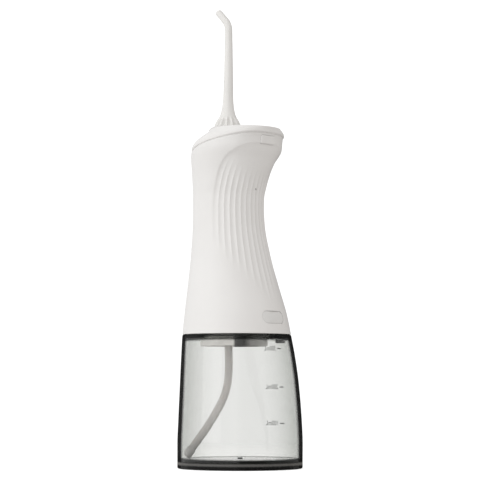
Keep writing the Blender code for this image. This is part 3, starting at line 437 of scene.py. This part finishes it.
def relief(z, angle):
    """Depth of the flutes and of the step round the scoop."""
    half = smooth_curve(ARCH, z)
    step = 0.0003
    radius, _ = section(z)
    reach = np.radians(1) * radius
    slope = (smooth_curve(ARCH, z + step) - smooth_curve(ARCH, z - step)) * reach / (2 * step)
    inside = (half - np.abs(angle)) * reach / np.sqrt(1 + slope ** 2)
    inside = np.maximum(inside, 0)
    depth = RECESS * (1 - np.exp(-inside / RECESS_REACH)) * np.exp(-inside / RECESS_FADE)
    depth = np.where(z > ARCH_TOP, 0.0, depth) * fade(0.158, 0.204, z)
    share = np.clip(np.abs(angle) / np.maximum(half, 1e-3), 0, 1)
    across = share * FLUTES / 2
    arc = 1 - (2 * (across - np.floor(across)) - 1) ** 2
    bottom = 0.104 + 0.037 * share
    top = 0.1950 + 0.0090 * share ** 2
    flutes = FLUTE_DEPTH * fade(bottom, bottom + 0.016, z) * (1 - fade(top - 0.016, top, z))
    flutes = flutes * (1 - 0.25 * share ** 4) * np.where(np.abs(angle) < half, 1.0, 0.0)
    return depth + flutes * (arc - 0.35 * fade(0.0, 0.0020, inside))


# ---------------------------------------------------------------- mesh helpers
def add_object(name, mesh, look, body, replaces=(), smooth=40.0):
    mesh.materials.clear()
    mesh.materials.append(look)
    mesh.shade_smooth()
    mesh.set_sharp_from_angle(angle=math.radians(smooth))
    made = bpy.data.objects.new(name, mesh)
    bpy.context.scene.collection.objects.link(made)
    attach(made, body)
    if replaces:
        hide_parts(*replaces)
    return made


def grid_mesh(name, rings, cap_ends=False, close=False):
    """Skin rings of equal length; close joins the last ring to the first."""
    rings = np.array(rings)
    rows, columns, _ = rings.shape
    last = rows if close else rows - 1
    row = np.arange(last)[:, None]
    column = np.arange(columns)[None, :]
    after = (column + 1) % columns
    below = (row + 1) % rows
    faces = np.stack(np.broadcast_arrays(row * columns + column, row * columns + after,
                                         below * columns + after, below * columns + column),
                     axis=-1).reshape(-1, 4).tolist()
    if cap_ends:
        faces.append(list(range(columns)))
        faces.append([(rows - 1) * columns + i for i in range(columns)])
    mesh = bpy.data.meshes.new(name)
    mesh.from_pydata(rings.reshape(-1, 3).tolist(), [], faces)
    bm = bmesh.new()
    bm.from_mesh(mesh)
    bmesh.ops.recalc_face_normals(bm, faces=bm.faces)
    bm.to_mesh(mesh)
    bm.free()
    return mesh


def circle(radius, middle_y, z, count, middle_x=0.0):
    turn = np.linspace(0, 2 * np.pi, count, endpoint=False)
    return np.stack((middle_x + radius * np.sin(turn), middle_y + radius * np.cos(turn),
                     z + 0 * turn), axis=-1)


def turned_mesh(name, outline, centre=(0, 0, 0), count=96, ring=False, along=None):
    """Turn (radius, height) pairs about Z, or about the direction given by along."""
    rings = [circle(max(r, 0.00002), 0.0, z, count) for r, z in outline]
    mesh = grid_mesh(name, rings, cap_ends=not ring, close=ring)
    if along is not None:
        mesh.transform(Vector(along).to_track_quat("Z", "Y").to_matrix().to_4x4())
    mesh.transform(Matrix.Translation(Vector(centre)))
    return mesh


def rounded(outline, radius, steps=4):
    """Round the inner corners of an open (radius, height) outline."""
    points = [Vector(p) for p in outline]
    made = [points[0]]
    for before, corner, after in zip(points, points[1:], points[2:]):
        reach = min(radius, (before - corner).length * 0.45, (after - corner).length * 0.45)
        start = corner + (before - corner).normalized() * reach
        end = corner + (after - corner).normalized() * reach
        for i in range(steps + 1):
            t = i / steps
            made.append((1 - t) ** 2 * start + 2 * t * (1 - t) * corner + t ** 2 * end)
    made.append(points[-1])
    return [(p.x, p.y) for p in made]


def through(points, count):
    """A list of count points on a smooth curve through the given points."""
    points = [Vector(p) for p in points]
    ends = [2 * points[0] - points[1]] + points + [2 * points[-1] - points[-2]]
    made = []
    for i in range(count):
        place = (len(points) - 1) * i / (count - 1)
        k = min(int(place), len(points) - 2)
        t = place - k
        a, b, c, d = ends[k:k + 4]
        made.append(0.5 * (2 * b + (c - a) * t + (2 * a - 5 * b + 4 * c - d) * t ** 2
                           + (3 * b - a - 3 * c + d) * t ** 3))
    return made


# ---------------------------------------------------------------- hose
def make_hose():
    route = through(HOSE_ROUTE, 60)
    curve = bpy.data.curves.new("hose", "CURVE")
    curve.dimensions = "3D"
    curve.bevel_depth = HOSE_DIAMETER / 2
    curve.bevel_resolution = 8
    curve.use_fill_caps = True
    spline = curve.splines.new("POLY")
    spline.points.add(len(route) - 1)
    for point, place in zip(spline.points, route):
        point.co = (*place, 1.0)
    spline.use_smooth = True
    curve.materials.append(HOSE)
    hose = bpy.data.objects.new("hose", curve)
    bpy.context.scene.collection.objects.link(hose)
    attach(hose, "handle")
    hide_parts("suction_hose")
    ahead = (route[-1] - route[-2]).normalized()
    tip = 0.0068
    outline = rounded([(0.0, tip), (0.0020, tip), (0.0030, tip - 0.0014),
                       (0.0031, 0.0008), (0.00265, 0.0), (0.0, 0.0)], 0.0005)
    mesh = turned_mesh("hose_end", outline, route[-1] - ahead * 0.0005, 48, along=ahead)
    weight = add_object("hose_end", mesh, HOSE, "handle", ("hose_filter",))


# ---------------------------------------------------------------- handle shell
def rounded_edge(radius, steps=5):
    """(inset, drop) pairs of a quarter circle, from the wall to the top of an edge."""
    turns = np.linspace(0, np.pi / 2, steps)
    return [(radius * (1 - math.cos(t)), radius * (1 - math.sin(t))) for t in turns]


def scoop_columns(z):
    half = float(smooth_curve(ARCH, min(z, RIM_START)))
    inside = np.linspace(-half, half, 12 * FLUTES + 1)
    outside = np.linspace(half, 360 - half, 92)[1:-1]
    angles = np.concatenate((inside, outside))
    return np.where(angles > 180, angles - 360, angles)


def make_housing():
    edge = 0.0013
    rings = []
    for inset, drop in reversed(rounded_edge(0.0004)):
        z = HANDLE_BOTTOM + drop
        rings.append(body_points(z, scoop_columns(z), inset))
    for z in np.concatenate((np.linspace(HANDLE_BOTTOM + 0.001, 0.165, 60),
                             np.linspace(0.166, RIM_START, 52))):
        angles = scoop_columns(z)
        rings.append(body_points(z, angles, relief(z, angles)))
    angles = scoop_columns(RIM_START)
    seam = seam_points(angles, rise=-SEAM_GAP / 2 - edge)
    for part in np.linspace(0, 1, 56)[1:]:
        z = RIM_START + (seam[:, 2] - RIM_START) * part
        rings.append(body_points(z, angles, relief(z, angles)))
    for inset, drop in rounded_edge(edge)[1:]:
        rings.append(seam_points(angles, inset, -SEAM_GAP / 2 - drop))
    rings.append(seam_points(angles, SKIN, -SEAM_GAP / 2))
    for z in (0.200, 0.190, 0.178, 0.165, 0.150, 0.135, 0.120, 0.105, HANDLE_BOTTOM):
        rings.append(body_points(z, scoop_columns(z), SKIN))
    mesh = grid_mesh("housing", rings, close=True)
    shell = add_object("housing", mesh, SHELL, "handle", ("main_housing",), smooth=50)
    cutters = [drum_mesh(KEY_HOLE_R, (0, -0.040, z), (0, -0.029, z)) for z in (POWER_Z, MODE_Z)]
    cutters += [drum_mesh(LENS_HOLE_R, (0, -0.040, z), (0, -0.029, z), 24) for z in LENS_Z]
    cutters.append(drum_mesh(LIGHT_HOLE_R, (0, 0.010, LIGHT_Z), (0, 0.020, LIGHT_Z), 24))
    cutters.append(bar_mesh(PORT_SIZE[0] / 2 + KEY_GAP, PORT_SIZE[1] / 2 + KEY_GAP, 1.0,
                            0.020, 0.036, PORT_Z))
    cutters.append(bar_mesh(RELEASE_SIZE[0] / 2 + KEY_GAP, RELEASE_SIZE[1] / 2 + KEY_GAP, 0.30,
                            0.018, 0.034, RELEASE_Z))
    carve(shell, cutters)


def carve(target, meshes):
    """Cut several closed meshes out of a piece, once, and keep the result as its mesh."""
    bm = bmesh.new()
    for mesh in meshes:
        bm.from_mesh(mesh)
    joined = bpy.data.meshes.new("cutters")
    bm.to_mesh(joined)
    bm.free()
    cutter = bpy.data.objects.new("cutters", joined)
    bpy.context.scene.collection.objects.link(cutter)
    step = target.modifiers.new("carve", "BOOLEAN")
    step.operation = "DIFFERENCE"
    step.object = cutter
    graph = bpy.context.evaluated_depsgraph_get()
    carved = bpy.data.meshes.new_from_object(target.evaluated_get(graph))
    target.modifiers.clear()
    target.data = carved
    carved.set_sharp_from_angle(angle=math.radians(40))
    bpy.data.objects.remove(cutter, do_unlink=True)


def drum_mesh(radius, start, end, count=64):
    along = Vector(end) - Vector(start)
    return turned_mesh("drum", [(0, along.length), (radius, along.length), (radius, 0), (0, 0)],
                       start, count, along=along)


def bar_outline(half_x, half_z, corner, count=96):
    """A rounded rectangle: corner is its corner radius as a share of its smaller half."""
    radius = corner * min(half_x, half_z)
    turn = np.linspace(0, 2 * np.pi, count, endpoint=False) + np.pi / count
    x = np.sign(np.cos(turn)) * (half_x - radius) + radius * np.cos(turn)
    z = np.sign(np.sin(turn)) * (half_z - radius) + radius * np.sin(turn)
    return x, z


def bar_mesh(half_x, half_z, corner, y_low, y_high, z_middle):
    x, z = bar_outline(half_x, half_z, corner)
    rings = [np.stack((x, y + 0 * x, z + z_middle), axis=-1) for y in (y_low, y_high)]
    return grid_mesh("bar", rings, cap_ends=True)


def key_mesh(name, size, corner, z_middle, raised, edge, depth, side=1, dome=0.0, flat=0.0):
    """A key whose face follows the body's skin, with a rounded edge and straight sides.

    flat is how far its face is straightened across, from 0 to 1."""
    half_x, half_z = size[0] / 2, size[1] / 2
    rings = []
    for share in (0.02, 0.2, 0.4, 0.6, 0.75, 0.88):
        x, z = bar_outline((half_x - edge) * share, (half_z - edge) * share, corner)
        rings.append((x, z, raised + dome * (1 - share ** 2)))
    for turn in np.linspace(0, np.pi / 2, 7):
        shrink = edge * (1 - math.sin(turn))
        x, z = bar_outline(half_x - shrink, half_z - shrink, corner)
        rings.append((x, z, raised - edge * (1 - math.cos(turn))))
    points = []
    for x, z, lift in rings:
        y = back_y(x, z + z_middle, side) * (1 - flat) + back_y(0 * x, z + z_middle, side) * flat
        y = y + side * lift
        points.append(np.stack((x, y, z + z_middle), axis=-1))
    x, z, _ = rings[-1]
    points.append(np.stack((x, depth + 0 * x, z + z_middle), axis=-1))
    return grid_mesh(name, points, cap_ends=True)


def middle_z(node):
    low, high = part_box(node)
    return (low.z + high.z) / 2


POWER_Z = middle_z("power_button")
MODE_Z = middle_z("mode_button")
LENS_Z = [middle_z(f"indicator_lens_{i}") for i in range(1, 6)]
LIGHT_Z = middle_z("charge_light")
PORT_Z = middle_z("charge_port_cover")
PORT_SIZE = (0.0196, 0.0079)
RELEASE_Z = middle_z("release_button")
RELEASE_SIZE = (0.0131, 0.0056)


def make_keys():
    mesh = key_mesh("release_key", RELEASE_SIZE, 0.30, RELEASE_Z, 0.0006, 0.0008,
                    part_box("release_button")[0].y, flat=0.5)
    add_object("release_key", mesh, SHELL, "release", ("release_button",))
    mesh = key_mesh("port_flap", PORT_SIZE, 1.0, PORT_Z, -0.0001, 0.0004,
                    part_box("charge_port_cover")[0].y + 0.0012)
    add_object("port_flap", mesh, KEY, "port_cover", ("charge_port_cover",))
    for name, body, z in (("power", "power_key", POWER_Z), ("mode", "mode_key", MODE_Z)):
        low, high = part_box(f"{name}_button")
        lift = float(back_y(np.array(0.0), z, -1)) - low.y - 0.0003
        mesh = key_mesh(f"{name}_key", (0.0120, 0.0120), 1.0, z, lift, 0.0005, high.y, -1,
                        dome=0.0002)
        add_object(f"{name}_key", mesh, KEY, body, (f"{name}_button",))


# ---------------------------------------------------------------- head
def make_cap():
    count = 160
    angles = np.linspace(0, 360, count, endpoint=False)
    angles = np.where(angles > 180, angles - 360, angles)
    turn = np.radians(angles)
    (x0, z0), (x1, z1), (x2, z2), (x3, z3) = CAP_SHOULDER

    def shoulder(part, inset=0.0, lift=0.0):
        weights = ((1 - part) ** 3, 3 * (1 - part) ** 2 * part, 3 * (1 - part) * part ** 2,
                   part ** 3)
        inward = np.dot(weights, (x0, x1, x2, x3))
        upward = np.dot(weights, (z0, z1, z2, z3))
        low = seam_points(angles, inset, SEAM_GAP / 2 + lift)
        radius = CAP_TOP_R - inset
        high = np.stack((radius * np.sin(turn), CAP_TOP_Y + radius * np.cos(turn),
                         np.full(count, CAP_TOP - inset)), axis=-1)
        high[:, 2] -= CAP_FALL * (1 - fade(-0.018, 0.010, high[:, 1]))
        high[:, 2] = np.maximum(high[:, 2], low[:, 2] + 0.0001)
        points = low + (high - low) * inward
        points[:, 2] = low[:, 2] + (high[:, 2] - low[:, 2]) * upward
        return points

    edge = 0.0006
    rings = [seam_points(angles, inset, SEAM_GAP / 2 + drop)
             for inset, drop in reversed(rounded_edge(edge))]
    rings += [shoulder(part, lift=edge) for part in np.linspace(0, 1, 40)[1:]]
    top = rings[-1]
    hole = circle(CAP_HOLE_R, NOZZLE_Y, CAP_TOP, count)
    for share in (0.25, 0.6):
        rings.append(top + (hole - top) * share)
    rings += [hole, circle(CAP_HOLE_R, NOZZLE_Y, CAP_TOP - CAP_WALL, count)]
    rings += [shoulder(part, CAP_WALL) for part in (1.0, 0.8, 0.6, 0.4, 0.2, 0.0)]
    mesh = grid_mesh("cap", rings, close=True)
    add_object("cap", mesh, CAP, "handle", ("head_cap",), smooth=30)
    rings = [seam_points(angles, inset, rise)
             for inset, rise in ((0.0007, -0.0007), (0.0007, 0.0014), (0.0016, 0.0014),
                                 (0.0016, -0.0007))]
    mesh = grid_mesh("seam_lip", rings, close=True)
    add_object("seam_lip", mesh, CAP, "handle")
    outline = rounded([(0.0070, 0.2197), (0.0070, CAP_TOP + 0.0001), (0.0124, CAP_TOP + 0.0001),
                       (0.0127, 0.2160), (0.0072, 0.2160)], 0.0004)
    mesh = turned_mesh("dial_seat", outline, (0, NOZZLE_Y, 0), 128, ring=True)
    add_object("dial_seat", mesh, CAP, "handle")


def make_dial():
    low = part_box("nozzle_dial")[0].z
    bottom = CAP_TOP + GAP
    outline = rounded([(0.0040, DIAL_TOP), (0.0096, DIAL_TOP), (0.0120, DIAL_TOP - 0.0010),
                       (DIAL_R, DIAL_TOP - 0.0022), (DIAL_R, bottom), (0.0065, bottom),
                       (0.0065, low), (0.0040, low)], 0.0005)
    mesh = turned_mesh("dial_ring", outline, (0, NOZZLE_Y, 0), 160, ring=True)
    add_object("dial_ring", mesh, DIAL_PAINTED_SHADE, "dial", ("nozzle_dial",), smooth=30)


def nozzle_ring(centre, turn, radius, count, petals=0.0):
    around = np.linspace(0, 2 * np.pi, count, endpoint=False)
    wave = np.abs(np.sin(NOZZLE_PETALS * around / 2))
    reach = radius * (1 - petals * wave)
    ring = np.stack((reach * np.sin(around), reach * np.cos(around) * math.cos(turn),
                     reach * np.cos(around) * math.sin(turn)), axis=-1)
    return ring + np.array(centre)


def make_nozzle():
    count = 128
    foot = NOZZLE_PROFILE[0][0]
    stem_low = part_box("jet_nozzle")[0].z
    rings = [nozzle_ring((0, NOZZLE_Y, z), 0, r, count)
             for z, r in ((stem_low, STEM_R - 0.0003), (stem_low + 0.0004, STEM_R),
                          (0.2052, STEM_R), (0.2053, SEAL_GROOVE_R), (0.2073, SEAL_GROOVE_R),
                          (0.2074, STEM_R), (foot, STEM_R))]
    edge = 0.0002
    heights = np.concatenate((np.linspace(foot, 0.2315, 40), np.linspace(0.232, BEND_START, 60)))
    radii = smooth_curve(NOZZLE_PROFILE, heights)
    rings.append(nozzle_ring((0, NOZZLE_Y, foot), 0, radii[0] - edge, count, 0.10))
    for z, radius in zip(heights, radii):
        petals = PETAL_DEPTH * (1 - fade(0.2265, 0.2303, z)) * fade(foot - 0.004, 0.2255, z)
        lean = NOZZLE_LEAN * (1 - fade(foot, 0.2620, z))
        rings.append(nozzle_ring((0, NOZZLE_Y - lean, z + edge * (z == foot)), 0, radius, count,
                                 petals))
    steps = 20
    for i in range(1, steps + 1):
        turn = BEND_ANGLE * i / steps
        centre = (0, NOZZLE_Y - BEND_RADIUS * (1 - math.cos(turn)),
                  BEND_START + BEND_RADIUS * math.sin(turn))
        rings.append(nozzle_ring(centre, turn, 0.00245 - 0.0001 * i / steps, count))
    end = np.array(centre)
    ahead = np.array((0, -math.sin(BEND_ANGLE), math.cos(BEND_ANGLE)))
    for reach, radius in ((0.4, 0.0023), (0.9, 0.00222), (0.96, 0.00217), (0.99, 0.0020),
                          (1.0, 0.0018), (1.0, 0.0008), (0.85, 0.0007), (0.2, 0.0007)):
        rings.append(nozzle_ring(end + ahead * TIP_STRAIGHT * reach, BEND_ANGLE, radius, count))
    mesh = grid_mesh("nozzle", rings, cap_ends=True)
    add_object("nozzle", mesh, NOZZLE, "nozzle", ("jet_nozzle",), smooth=45)


# ---------------------------------------------------------------- tank and cover
def make_tank():
    count = 160

    def wall(z, inset=0.0):
        radius, middle = section(z)
        return circle(float(radius) - inset, float(middle), float(z), count)

    rings = [circle(r, 0.0, 0.0040, count) for r in (0.0005, 0.010, 0.020, 0.030)]
    rings += [circle(FOOT_INNER_R, 0.0, 0.0040, count), circle(FOOT_INNER_R, 0.0, 0.0003, count),
              circle(FOOT_INNER_R + 0.0003, 0.0, 0.0, count)]
    first_outer = len(rings)
    rings += [wall(drop, inset) for inset, drop in reversed(rounded_edge(0.0009, 8))]
    rings += [wall(z) for z in np.linspace(0.002, 0.0065, 12)]
    rings += [wall(z) for z in np.linspace(0.008, TANK_TOP - 0.0006, 60)]
    rings += [wall(TANK_TOP - drop, inset) for inset, drop in rounded_edge(0.0005)]
    last_outer = len(rings)
    rings += [circle(MOUTH_R + inset, MOUTH_Y, TANK_TOP - drop, count)
              for inset, drop in ((0.0002, 0.0), (0.00006, 0.00006), (0.0, 0.0002))]
    deck = TANK_TOP - DECK
    rings += [circle(MOUTH_R + inset, MOUTH_Y, deck + drop, count)
              for inset, drop in ((0.0, 0.0002), (0.00006, 0.00006), (0.0002, 0.0))]
    rings += [wall(deck - drop, TANK_WALL + inset)
              for inset, drop in reversed(rounded_edge(0.0012))]
    rings += [wall(z, TANK_WALL) for z in np.linspace(deck - 0.0015, TANK_FLOOR + 0.0015, 50)]
    rings += [wall(TANK_FLOOR + drop, TANK_WALL + inset)
              for inset, drop in rounded_edge(0.0010, 6)]
    rings += [circle(r, 0.0, TANK_FLOOR, count) for r in (0.030, 0.020, 0.010, 0.0005)]
    mesh = grid_mesh("tank", rings, cap_ends=True)
    outer = mesh.attributes.new("outer_wall", "FLOAT", "POINT")
    deck_painted_shade = mesh.attributes.new("deck_painted_shade", "FLOAT", "POINT")
    foot_painted_shade = mesh.attributes.new("foot_painted_shade", "FLOAT", "POINT")
    # masks of the painted shade: the outer wall, the dark foot band and the band above the deck
    for vertex in range(first_outer * count, last_outer * count):
        outer.data[vertex].value = 1.0
        height = mesh.vertices[vertex].co.z
        foot_painted_shade.data[vertex].value = 0.80 * (1 - fade(0.0040, 0.0052, height))
        deck_painted_shade.data[vertex].value = fade(deck + 0.0001, deck + 0.0009, height)
    add_object("tank", mesh, TANK, "tank", ("tank_shell",), smooth=40)
    outline = rounded([(0.0, 0.0009), (0.0016, 0.0009), (0.0018, 0.0), (0.0, 0.0)], 0.0003)
    mesh = turned_mesh("gate_mark", outline, (0, 0, TANK_FLOOR + 0.00005), 32)
    add_object("gate_mark", mesh, DARK, "tank")
    outline = rounded([(0.0, 0.0037), (0.0345, 0.0037), (0.0345, 0.0), (0.0, 0.0)], 0.0006)
    mesh = turned_mesh("foot_pad", outline, count=128)
    add_object("foot_pad", mesh, PAD, "tank", ("tank_base",))
    low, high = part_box("breather_valve")
    middle = (low + high) / 2
    stem = HANDLE_BOTTOM - GAP - low.z
    outline = rounded([(0.0, stem), (BREATHER_STEM_R, stem), (BREATHER_STEM_R, BREATHER_HEIGHT),
                       (BREATHER_R, BREATHER_HEIGHT), (BREATHER_R, 0.0), (0.0, 0.0)], 0.0004)
    mesh = turned_mesh("breather", outline, (middle.x, middle.y, low.z), 48)
    add_object("breather", mesh, DARK, "tank", ("breather_valve",))


def make_marks():
    """Volume marks on the outside of the tank's -X side: a tick, then the number."""
    for label, z_mark, shift in MARKS:
        data = bpy.data.curves.new(f"mark_{label}", "FONT")
        data.body = label
        data.size = MARK_SIZE
        data.align_x = "LEFT"
        data.align_y = "CENTER"
        data.space_character = 1.08
        data.offset = 0.00002
        text = bpy.data.objects.new("lettering", data)
        bpy.context.scene.collection.objects.link(text)
        graph = bpy.context.evaluated_depsgraph_get()
        mesh = bpy.data.meshes.new_from_object(text.evaluated_get(graph))
        bpy.data.objects.remove(text, do_unlink=True)
        bm = bmesh.new()
        bm.from_mesh(mesh)
        bmesh.ops.scale(bm, vec=(MARK_NARROWING, 1, 1), verts=bm.verts)
        tick = bmesh.ops.create_grid(bm, x_segments=8, y_segments=1, size=0.5)["verts"]
        bmesh.ops.scale(bm, vec=(*TICK_SIZE, 1), verts=tick)
        bmesh.ops.translate(bm, vec=(TICK_X, 0, 0), verts=tick)
        bmesh.ops.triangulate(bm, faces=bm.faces)
        for _ in range(2):
            long_edges = [e for e in bm.edges if e.calc_length() > 0.0006]
            bmesh.ops.subdivide_edges(bm, edges=long_edges, cuts=1)
            bmesh.ops.triangulate(bm, faces=bm.faces)
        for v in bm.verts:
            radius, middle = section(z_mark + v.co.y)
            reach = float(radius) + 0.00004
            turn = (shift - v.co.x) / reach
            v.co = Vector((-reach * math.cos(turn), float(middle) + reach * math.sin(turn),
                           z_mark + v.co.y))
        bm.to_mesh(mesh)
        bm.free()
        mesh.name = f"mark_{label}"
        add_object(f"mark_{label}", mesh, INK, "tank")


def make_cover():
    count = 144
    z_low, z_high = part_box("lower_cover")[0].z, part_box("lower_cover")[1].z

    def plate(z):
        radius, middle = section(z)
        return circle(float(radius) - SKIN - GAP, float(middle), z, count)

    groove_low, groove_high = COLLAR_GROOVE
    rings = [circle(INLET_R, INLET_Y, z_high, count), plate(z_high), plate(HANDLE_BOTTOM)]
    rings += [circle(r, MOUTH_Y, z, count)
              for r, z in ((COLLAR_R, HANDLE_BOTTOM), (COLLAR_R, groove_high),
                           (COLLAR_R - 0.001, groove_high), (COLLAR_R - 0.001, groove_low),
                           (COLLAR_R, groove_low), (COLLAR_R, z_low + 0.0006),
                           (COLLAR_R - 0.0002, z_low + 0.0002), (COLLAR_R - 0.0006, z_low),
                           (COLLAR_R - 0.0020, z_low), (COLLAR_R - 0.0020, z_low + 0.0010),
                           (0.0080, z_low + 0.0010))]
    rings += [circle(INLET_R, INLET_Y, z_low + 0.0010, count)]
    mesh = grid_mesh("collar", rings, close=True)
    add_object("collar", mesh, COLLAR, "handle", ("lower_cover",), smooth=35)


# ---------------------------------------------------------------- stage and light
BACKDROP = 1.16             # brightness of the backdrop and of the far floor
FLOOR_FADE = (0.06, 0.50)   # metres from the middle where the floor fades out


def add_light(name, power, size, place, target=(0, 0, 0.12)):
    data = bpy.data.lights.new(name, "AREA")
    data.shape = "RECTANGLE"
    data.size, data.size_y = size
    data.energy = power
    light = bpy.data.objects.new(name, data)
    light.visible_glossy = False
    bpy.context.scene.collection.objects.link(light)
    light.location = place
    light.rotation_euler = (Vector(target) - Vector(place)).to_track_quat("-Z", "Y").to_euler()


def from_camera(turn, distance, height):
    """A place round the object, turned from the camera's side: positive to the right."""
    angle = CAMERA_AZIMUTH + math.radians(turn)
    return (math.sin(angle) * distance, -math.cos(angle) * distance, height)


def make_stage():
    bm = bmesh.new()
    bmesh.ops.create_circle(bm, cap_ends=True, segments=96, radius=6.0)
    mesh = bpy.data.meshes.new("floor")
    bm.to_mesh(mesh)
    bm.free()
    material, tree, shader = new_material("floor_pale")
    place = tree.nodes.new("ShaderNodeTexCoord")
    away = tree.nodes.new("ShaderNodeVectorMath")
    away.operation = "LENGTH"
    tree.links.new(place.outputs["Object"], away.inputs[0])
    tree.links.new(tones(tree, away.outputs["Value"], (0.70, 0.70, 0.70), (0, 0, 0), *FLOOR_FADE),
                   shader.inputs["Base Color"])
    shader.inputs["Roughness"].default_value = 0.7
    shader.inputs["Specular IOR Level"].default_value = 0.0
    shader.inputs["Emission Color"].default_value = (1, 1, 1, 1)
    tree.links.new(spread(tree, away.outputs["Value"], 0.65, BACKDROP, *FLOOR_FADE),
                   shader.inputs["Emission Strength"])
    mesh.materials.append(material)
    floor = bpy.data.objects.new("floor", mesh)
    floor.location.z = -0.0002
    bpy.context.scene.collection.objects.link(floor)
    floor.visible_diffuse = False
    floor.visible_glossy = False
    world = bpy.data.worlds.new("studio")
    bpy.context.scene.world = world
    world.use_nodes = True
    tree = world.node_tree
    direction = tree.nodes.new("ShaderNodeTexCoord")
    towards = along_direction(tree, direction.outputs["Generated"],
                              Vector(from_camera(-60, 1.0, 0.60)).normalized())
    soft = tree.nodes["Background"]
    tree.links.new(tones(tree, spread(tree, towards, 0, 1, -1, 1), (0.612, 0.583, 0.560),
                         (0.90, 0.90, 0.90), 0.1, 0.9), soft.inputs["Color"])
    backdrop = tree.nodes.new("ShaderNodeBackground")
    backdrop.inputs["Color"].default_value = (1, 1, 1, 1)
    backdrop.inputs["Strength"].default_value = BACKDROP
    path = tree.nodes.new("ShaderNodeLightPath")
    clear = calculate(tree, "MAXIMUM", path.outputs["Is Camera Ray"],
                      path.outputs["Is Transmission Ray"])
    glossy = tree.nodes.new("ShaderNodeBackground")
    # what gloss reflects is dimmer on the right and near the camera
    right, near = (spread(tree, along_direction(tree, direction.outputs["Generated"],
                                                from_camera(turn, 1.0, 0.0)), *tone)
                   for turn, tone in ((90, (1.0, 0.40, -0.10, 0.10)),
                                      (24, (1.0, 0.35, 0.86, 0.93))))
    tree.links.new(calculate(tree, "MULTIPLY", right, near), glossy.inputs["Strength"])
    seen = soft
    for share, other in ((path.outputs["Is Glossy Ray"], glossy),
                         (clear, backdrop)):
        mix = tree.nodes.new("ShaderNodeMixShader")
        tree.links.new(share, mix.inputs["Fac"])
        tree.links.new(seen.outputs[0], mix.inputs[1])
        tree.links.new(other.outputs[0], mix.inputs[2])
        seen = mix
    tree.links.new(seen.outputs[0], tree.nodes["World Output"].inputs["Surface"])
    add_light("key", 6.8, (1.2, 1.4), from_camera(-58, 1.5, 0.50))
    add_light("top", 1.5, (1.0, 1.0), from_camera(-20, 0.3, 1.5))
    add_light("fill", 0.09, (0.20, 0.20), from_camera(60, 0.42, 0.34), (0, 0, 0.21))


def dress_frame():
    """Give every CAD node its finish, so that inner pieces look right too."""
    for part in frame["record"]["subparts"]:
        node = frame["nodes"][part["node"]]
        look = SLOT_LOOKS[part["material_slot"]]
        if part["node"] == "charge_light":
            look = SMOKE
        for slot in node.material_slots:
            slot.material = look


dress_frame()
make_hose()
make_housing()
make_keys()
make_cap()
make_dial()
make_nozzle()
make_tank()
make_marks()
make_cover()
make_stage()
